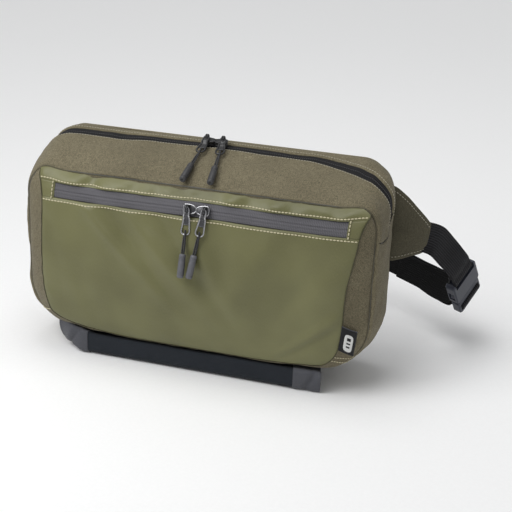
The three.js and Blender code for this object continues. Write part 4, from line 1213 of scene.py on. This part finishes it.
def belt():
    plumb = [0, 0, 1]
    round_bar = [(-4, 2.2), (-0.5, 3.6), (1.6, 3.9), (3.9, 3.4), (4.8, 1.4)]
    round_bar = [(-11, 1.6)] + round_bar + [(x, -z) for x, z in round_bar[::-1]] + [(-11, -1.3)]
    right = [[193, 56.6, 127.2], [201, 61.2, 124.4], [207.2, 65, 121], [216.5, 74, 108.5]]
    right += [at_buckle(x, z) for x, z in round_bar]
    strip("webbing_right", right, plumb, AY, 48, WEBBING, ["belt_right"], step=0.9)
    a, b = SLOT_A, SLOT_B
    leg = [(0, -6.6), (0, -3), (0, 2.6), (0.3, 4.6), (1.5, 5.6)]
    loop = [at_buckle(b - x, z) for x, z in leg] + [at_buckle(a + x, z) for x, z in leg[::-1]]
    strip("webbing_male_loop", loop, AY, AY, 1, WEBBING, ["belt_male_loop"], body="buckle_male_body",
          step=0.6)
    left = [at_buckle(b, -7.0), at_buckle(b, -9)] + LOOP_BACK
    # the belt behind the bag and its tail are in the webbing's darker copy: painted shade
    o = strip("webbing_left", left, AY, plumb, 50, WEBBING_SHADED, ["belt_left"], body=None)
    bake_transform(o)
    offsets = [[-1.6, -4.2, 4.0], [-2.4, -4.2, 1.6], [-1.9, -3.6, 0.4], [-1.6, -3.2, 0]]
    beside = (np.array(LOOP_BACK[:3] + [[163, 150.3, 58.7]]) + offsets).tolist()
    tail = [at_buckle(a, -7.0), at_buckle(a, -9)] + beside
    o = strip("webbing_tail", tail, AY, plumb, 50, WEBBING_SHADED, ["belt_tail"], width=WEB_W - 1, body=None)
    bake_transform(o)


# ---- zip sliders, pullers, cords and grips --------------------------------------------------
BRIDGE_Z, DROP = 7.4, 2.4      # the pull hinge's height over the zip, and the puller's step down
FRONT_OUT, TOP_OUT = unit([0, -1, 0.3844]), unit([0, -0.2, 1])
# outward direction, swing, lean, lengths of plate, cord and grip, which way the nose points, shift
PULLS = {
    "front_left": (FRONT_OUT, 0.082, 0.0, 24, 19, 22, 1, -1.3),
    "front_right": (FRONT_OUT, 0.082, -0.13, 24, 19, 22, -1, 1.8),
    "top_left": (TOP_OUT, 0.1426, -0.03, 22, 22, 24, 1, -1.6),
    "top_right": (TOP_OUT, 0.1426, 0.13, 22, 22, 24, -1, 1.8)}


def pivot(tag):
    """The pull hinge's place, from the frame's record."""
    joints = frame["record"]["behaviour"]["joints"]
    return next(np.array(j["pos_m"], float) / MM for j in joints if j["name"] == tag + "_pull")


def turned(angle, axis):
    """A turn about x (axis 0) or z (axis 2), as a matrix."""
    c, s = math.cos(angle), math.sin(angle)
    about_x = np.array([[1, 0, 0], [0, c, -s], [0, s, c]])
    return about_x if axis == 0 else np.array([[c, -s, 0], [s, c, 0], [0, 0, 1]])


def slider_mesh(tag, out, nose, shift, material, inner, slot):
    """The slider's two plates, neck and raised rim, and the bridge that carries the puller."""
    axes = np.stack([[1.0, 0, 0], np.cross(out, [1, 0, 0]), out], 1)
    base = pivot(tag) - out * BRIDGE_Z
    half = [(6.9, 1.0), (5.9, 2.5), (3.8, 3.6), (0.6, 4.3), (-2.6, 4.5), (-4.7, 4.0), (-5.6, 2.5),
            (-5.8, 1.0)]
    loop = np.array(half + [(x, -y) for x, y in half[::-1]]) * [nose, 1]
    lower = [(0.25, 0.86), (0.45, 0.97), (1.1, 0.97)]
    levels = lower + [(1.3, 0.8), (2.5, 0.8), (2.7, 0.98), (3.3, 1.0), (4.0, 0.97), (4.3, 0.85)]
    rings = np.array([np.column_stack([loop * k, np.full(len(loop), z)]) for z, k in levels])
    # on the front sliders inner is the darker nickel: painted shade on the plates, neck and bridge
    o = thing("slider_" + tag, rings.reshape(-1, 3) @ axes.T + base, loft(len(loop), len(levels)), inner,
              body=tag + "_slider_body", slot=slot, replaces=[tag + "_slider"])
    facing(o, lambda c: c - (base + out * 2.3))
    bevel(o, 0.18, 2, 25)
    rim = np.vstack([loop, loop[:1]]) * 0.93
    rim, _ = along(np.column_stack([rim, np.full(len(rim), 4.15)]), count=65)
    tube("slider_rim_" + tag, rim[:-1] @ axes.T + base, 0.62, material, sides=8, closed=True,
         body=tag + "_slider_body", slot=slot)
    leg = [(0, -3.0, 4.0), (0, -3.1, 6.4), (0, -2.3, 8.4)]
    arch, _ = along(leg + [(0, 0, 9.2)] + [(0, -y, z) for _, y, z in leg[::-1]], count=28)
    for k, dx in enumerate((-0.75, 0.75)):
        tube(f"bridge_{tag}_{k}", (arch + [dx + shift, 0, 0]) @ axes.T + base, 0.7, inner,
             body=tag + "_slider_body", slot=slot)


def pull(tag):
    """One zip slider with its puller, cord and grip."""
    out, swing, lean, plate, cord_length, grip_length, nose, shift = PULLS[tag]
    bright = tag.startswith("front")
    metal_look, slot = (NICKEL, "nickel") if bright else (BLACK_METAL, "black_metal")
    # the front pulls' inner parts are a darker nickel under the bright rim: painted shade and dark
    # reflections in the recesses
    inner = NICKEL_PAINTED_SHADE if bright else BLACK_METAL
    slider_mesh(tag, out, nose, shift, metal_look, inner, slot)
    body = tag + "_puller_body"
    axes = np.stack([[1.0, 0, 0], np.cross(out, [1, 0, 0]), out], 1) @ turned(swing, 0) @ turned(lean, 2)
    at = pivot(tag) + [shift, 0, 0]

    def place(points):
        return np.asarray(points, float) @ axes.T + at

    def step(y):
        """The puller lies lower once it is clear of the slider."""
        return -DROP * smooth(-np.asarray(y, float), 5.5, 9.0)

    # the frame: a bar under the bridge, two tapering sides and a round foot
    side = [(1.5, 0.2), (2.0, -0.8), (2.2, -4), (2.7, -9), (3.5, -plate + 7), (3.8, -plate + 4.0),
            (2.9, -plate + 1.6), (0, -plate + 0.6)]
    loop = [(0, 0.1)] + side + [(-x, y) for x, y in side[:-1][::-1]]
    pts, _ = along([(x, y, 0) for x, y in loop + loop[:1]], count=97)
    pts = pts[:-1]
    pts[:, 2] = step(pts[:, 1])
    tube("puller_" + tag, place(pts), 0.8 if bright else 0.9, metal_look, closed=True, body=body, slot=slot,
         replaces=[tag + "_puller"])
    # its recessed plate, with an eye above and the cord's hole below
    foot = -plate + (9.6 if bright else 7.0)
    ys = np.linspace(-4.2, foot, 16)
    w = np.interp(-ys, [4.2, -foot], [1.9, 3.0])
    rows = [[(x * wi, y, float(step(y)) + 0.15) for x in np.linspace(-1, 1, 7)] for y, wi in zip(ys, w)]
    cloth("puller_plate_" + tag, place(rows), inner, out, thick=0.7, body=body, slot=slot)
    for k, (y0, x) in enumerate(((-4.2, 2.0), (foot, 3.1))):
        bar = [(-x, y0, float(step(y0))), (0, y0, float(step(y0)) + 0.15), (x, y0, float(step(y0)))]
        bar, _ = along(bar, count=9)
        tube(f"puller_bar_{tag}_{k}", place(bar), 0.5, inner, sides=8, body=body, slot=slot)
    # the doubled cord through the hole
    top = -plate + 2.6
    end, z = top - cord_length, -DROP
    joined = end + cord_length * 0.45
    route = [(0.9, end, z), (0.9, joined, z), (0.95, top - 3.0, z + 1.4), (0.8, top - 0.8, z + 2.1),
             (0, top + 1.7, z + 0.2), (-0.8, top - 0.8, z - 2.1), (-0.95, top - 3.0, z - 1.4),
             (-0.9, joined, z), (-0.9, end, z)]
    line, length = along(place(route), count=90)
    o = tube("cord_" + tag, line, 0.82, CORD, body=body, slot="cord", replaces=[tag + "_cord"])
    grip(tag, place, end - 0.3, z, grip_length, GRIP if bright else GRIP_DARK, body)


def grip(tag, place, y, z, length, material, body):
    """A moulded grip: round, with a waist of fine grooves near its top and a dimpled end."""
    prof = [(0.0, 0.9), (0.05, 1.9), (0.35, 2.55), (1.1, 2.95), (2.0, 3.05)]
    for k in range(3):
        g = 3.2 + k * 1.5
        prof += [(g - 0.5, 3.08), (g, 2.8), (g + 0.5, 3.08)]
    end = [(3.4, 3.2), (2.9, 2.95), (2.4, 3.2), (1.0, 3.05), (0.25, 2.4), (0, 1.5), (0.5, 1.1), (0.9, 0.4)]
    prof += [(9.0, 3.15)] + [(length - d, r) for d, r in end]
    a = np.linspace(0, 2 * np.pi, 24, endpoint=False)
    rings = np.array([[(r * math.cos(t), y - d, z + r * math.sin(t)) for t in a] for d, r in prof])
    o = thing("grip_" + tag, place(rings), loft(len(a), len(prof)), material, body=body, slot="grip_rubber",
              replaces=[tag + "_grip"])
    middle = place([(0, y - length / 2, z)])[0]
    way = unit(place([(0, y - length, z)])[0] - place([(0, y, z)])[0])
    facing(o, lambda c: (c - middle) - np.outer((c - middle) @ way, way))


# ---- label in the right seam ----------------------------------------------------------------
def label():
    """A folded tab with a pale woven patch and three plain bars."""
    a, b = np.array([145.6, -55.2, 75.3]), np.array([143.4, -53.6, 50.5])
    c, d = np.array([158.4, -46.9, 68.2]), np.array([155.9, -45.2, 42.6])
    out = unit(np.cross(c - a, b - a))
    out = out if out[0] - out[1] > 0 else -out

    def spot(u, v, lift):
        p = (a * (1 - u) + c * u) * (1 - v) + (b * (1 - u) + d * u) * v
        return p + out * (lift + 0.9 * math.sin(math.pi * u) + 0.25 * math.sin(5 * v))

    def patch(name, u0, u1, v0, v1, lift, thick, material, round_u=0.0, **kw):
        rows = []
        for v in np.linspace(0, 1, 24):
            pinch = round_u * (1 - math.sqrt(max(0.0, 1 - abs(2 * v - 1) ** 6)))
            us = u0 + (u1 - u0) * (pinch + np.linspace(0, 1, 16) * (1 - 2 * pinch))
            rows.append([spot(u, v0 + (v1 - v0) * v, lift) for u in us])
        cloth(name, np.array(rows), material, out, thick=thick, slot="label", **kw)

    patch("label_cloth", 0, 1, 0, 1, 1.1, 1.0, LABEL, replaces=["side_label"])
    patch("label_patch", 0.24, 0.80, 0.22, 0.90, 1.3, 0.25, PATCH, round_u=0.35)
    for k, (v0, v1) in enumerate(((0.34, 0.46), (0.54, 0.60), (0.68, 0.74))):
        patch(f"label_bar_{k}", 0.40, 0.64, v0, v1, 1.45, 0.18, LABEL)
    patch("label_fold", 0.0, 1.0, -0.005, 0.02, 1.3, 0.5, CUFF)


main_body()
top_zip()
top_zip_teeth()
seam_welt()
back()
pocket_side()
front_panel()
front_zip()
sleeve()
topstitching()
label()
wing(1, "wing_cloth_right", "wing_right")
wing(-1, "wing_cloth_left", "wing_left")
belt()
for tag in PULLS:
    pull(tag)

for n in ("buckle_female", "buckle_male", "buckle_prong_upper", "buckle_prong_lower"):
    bevel(recolour(n, BUCKLE), 0.7, 3, 30)
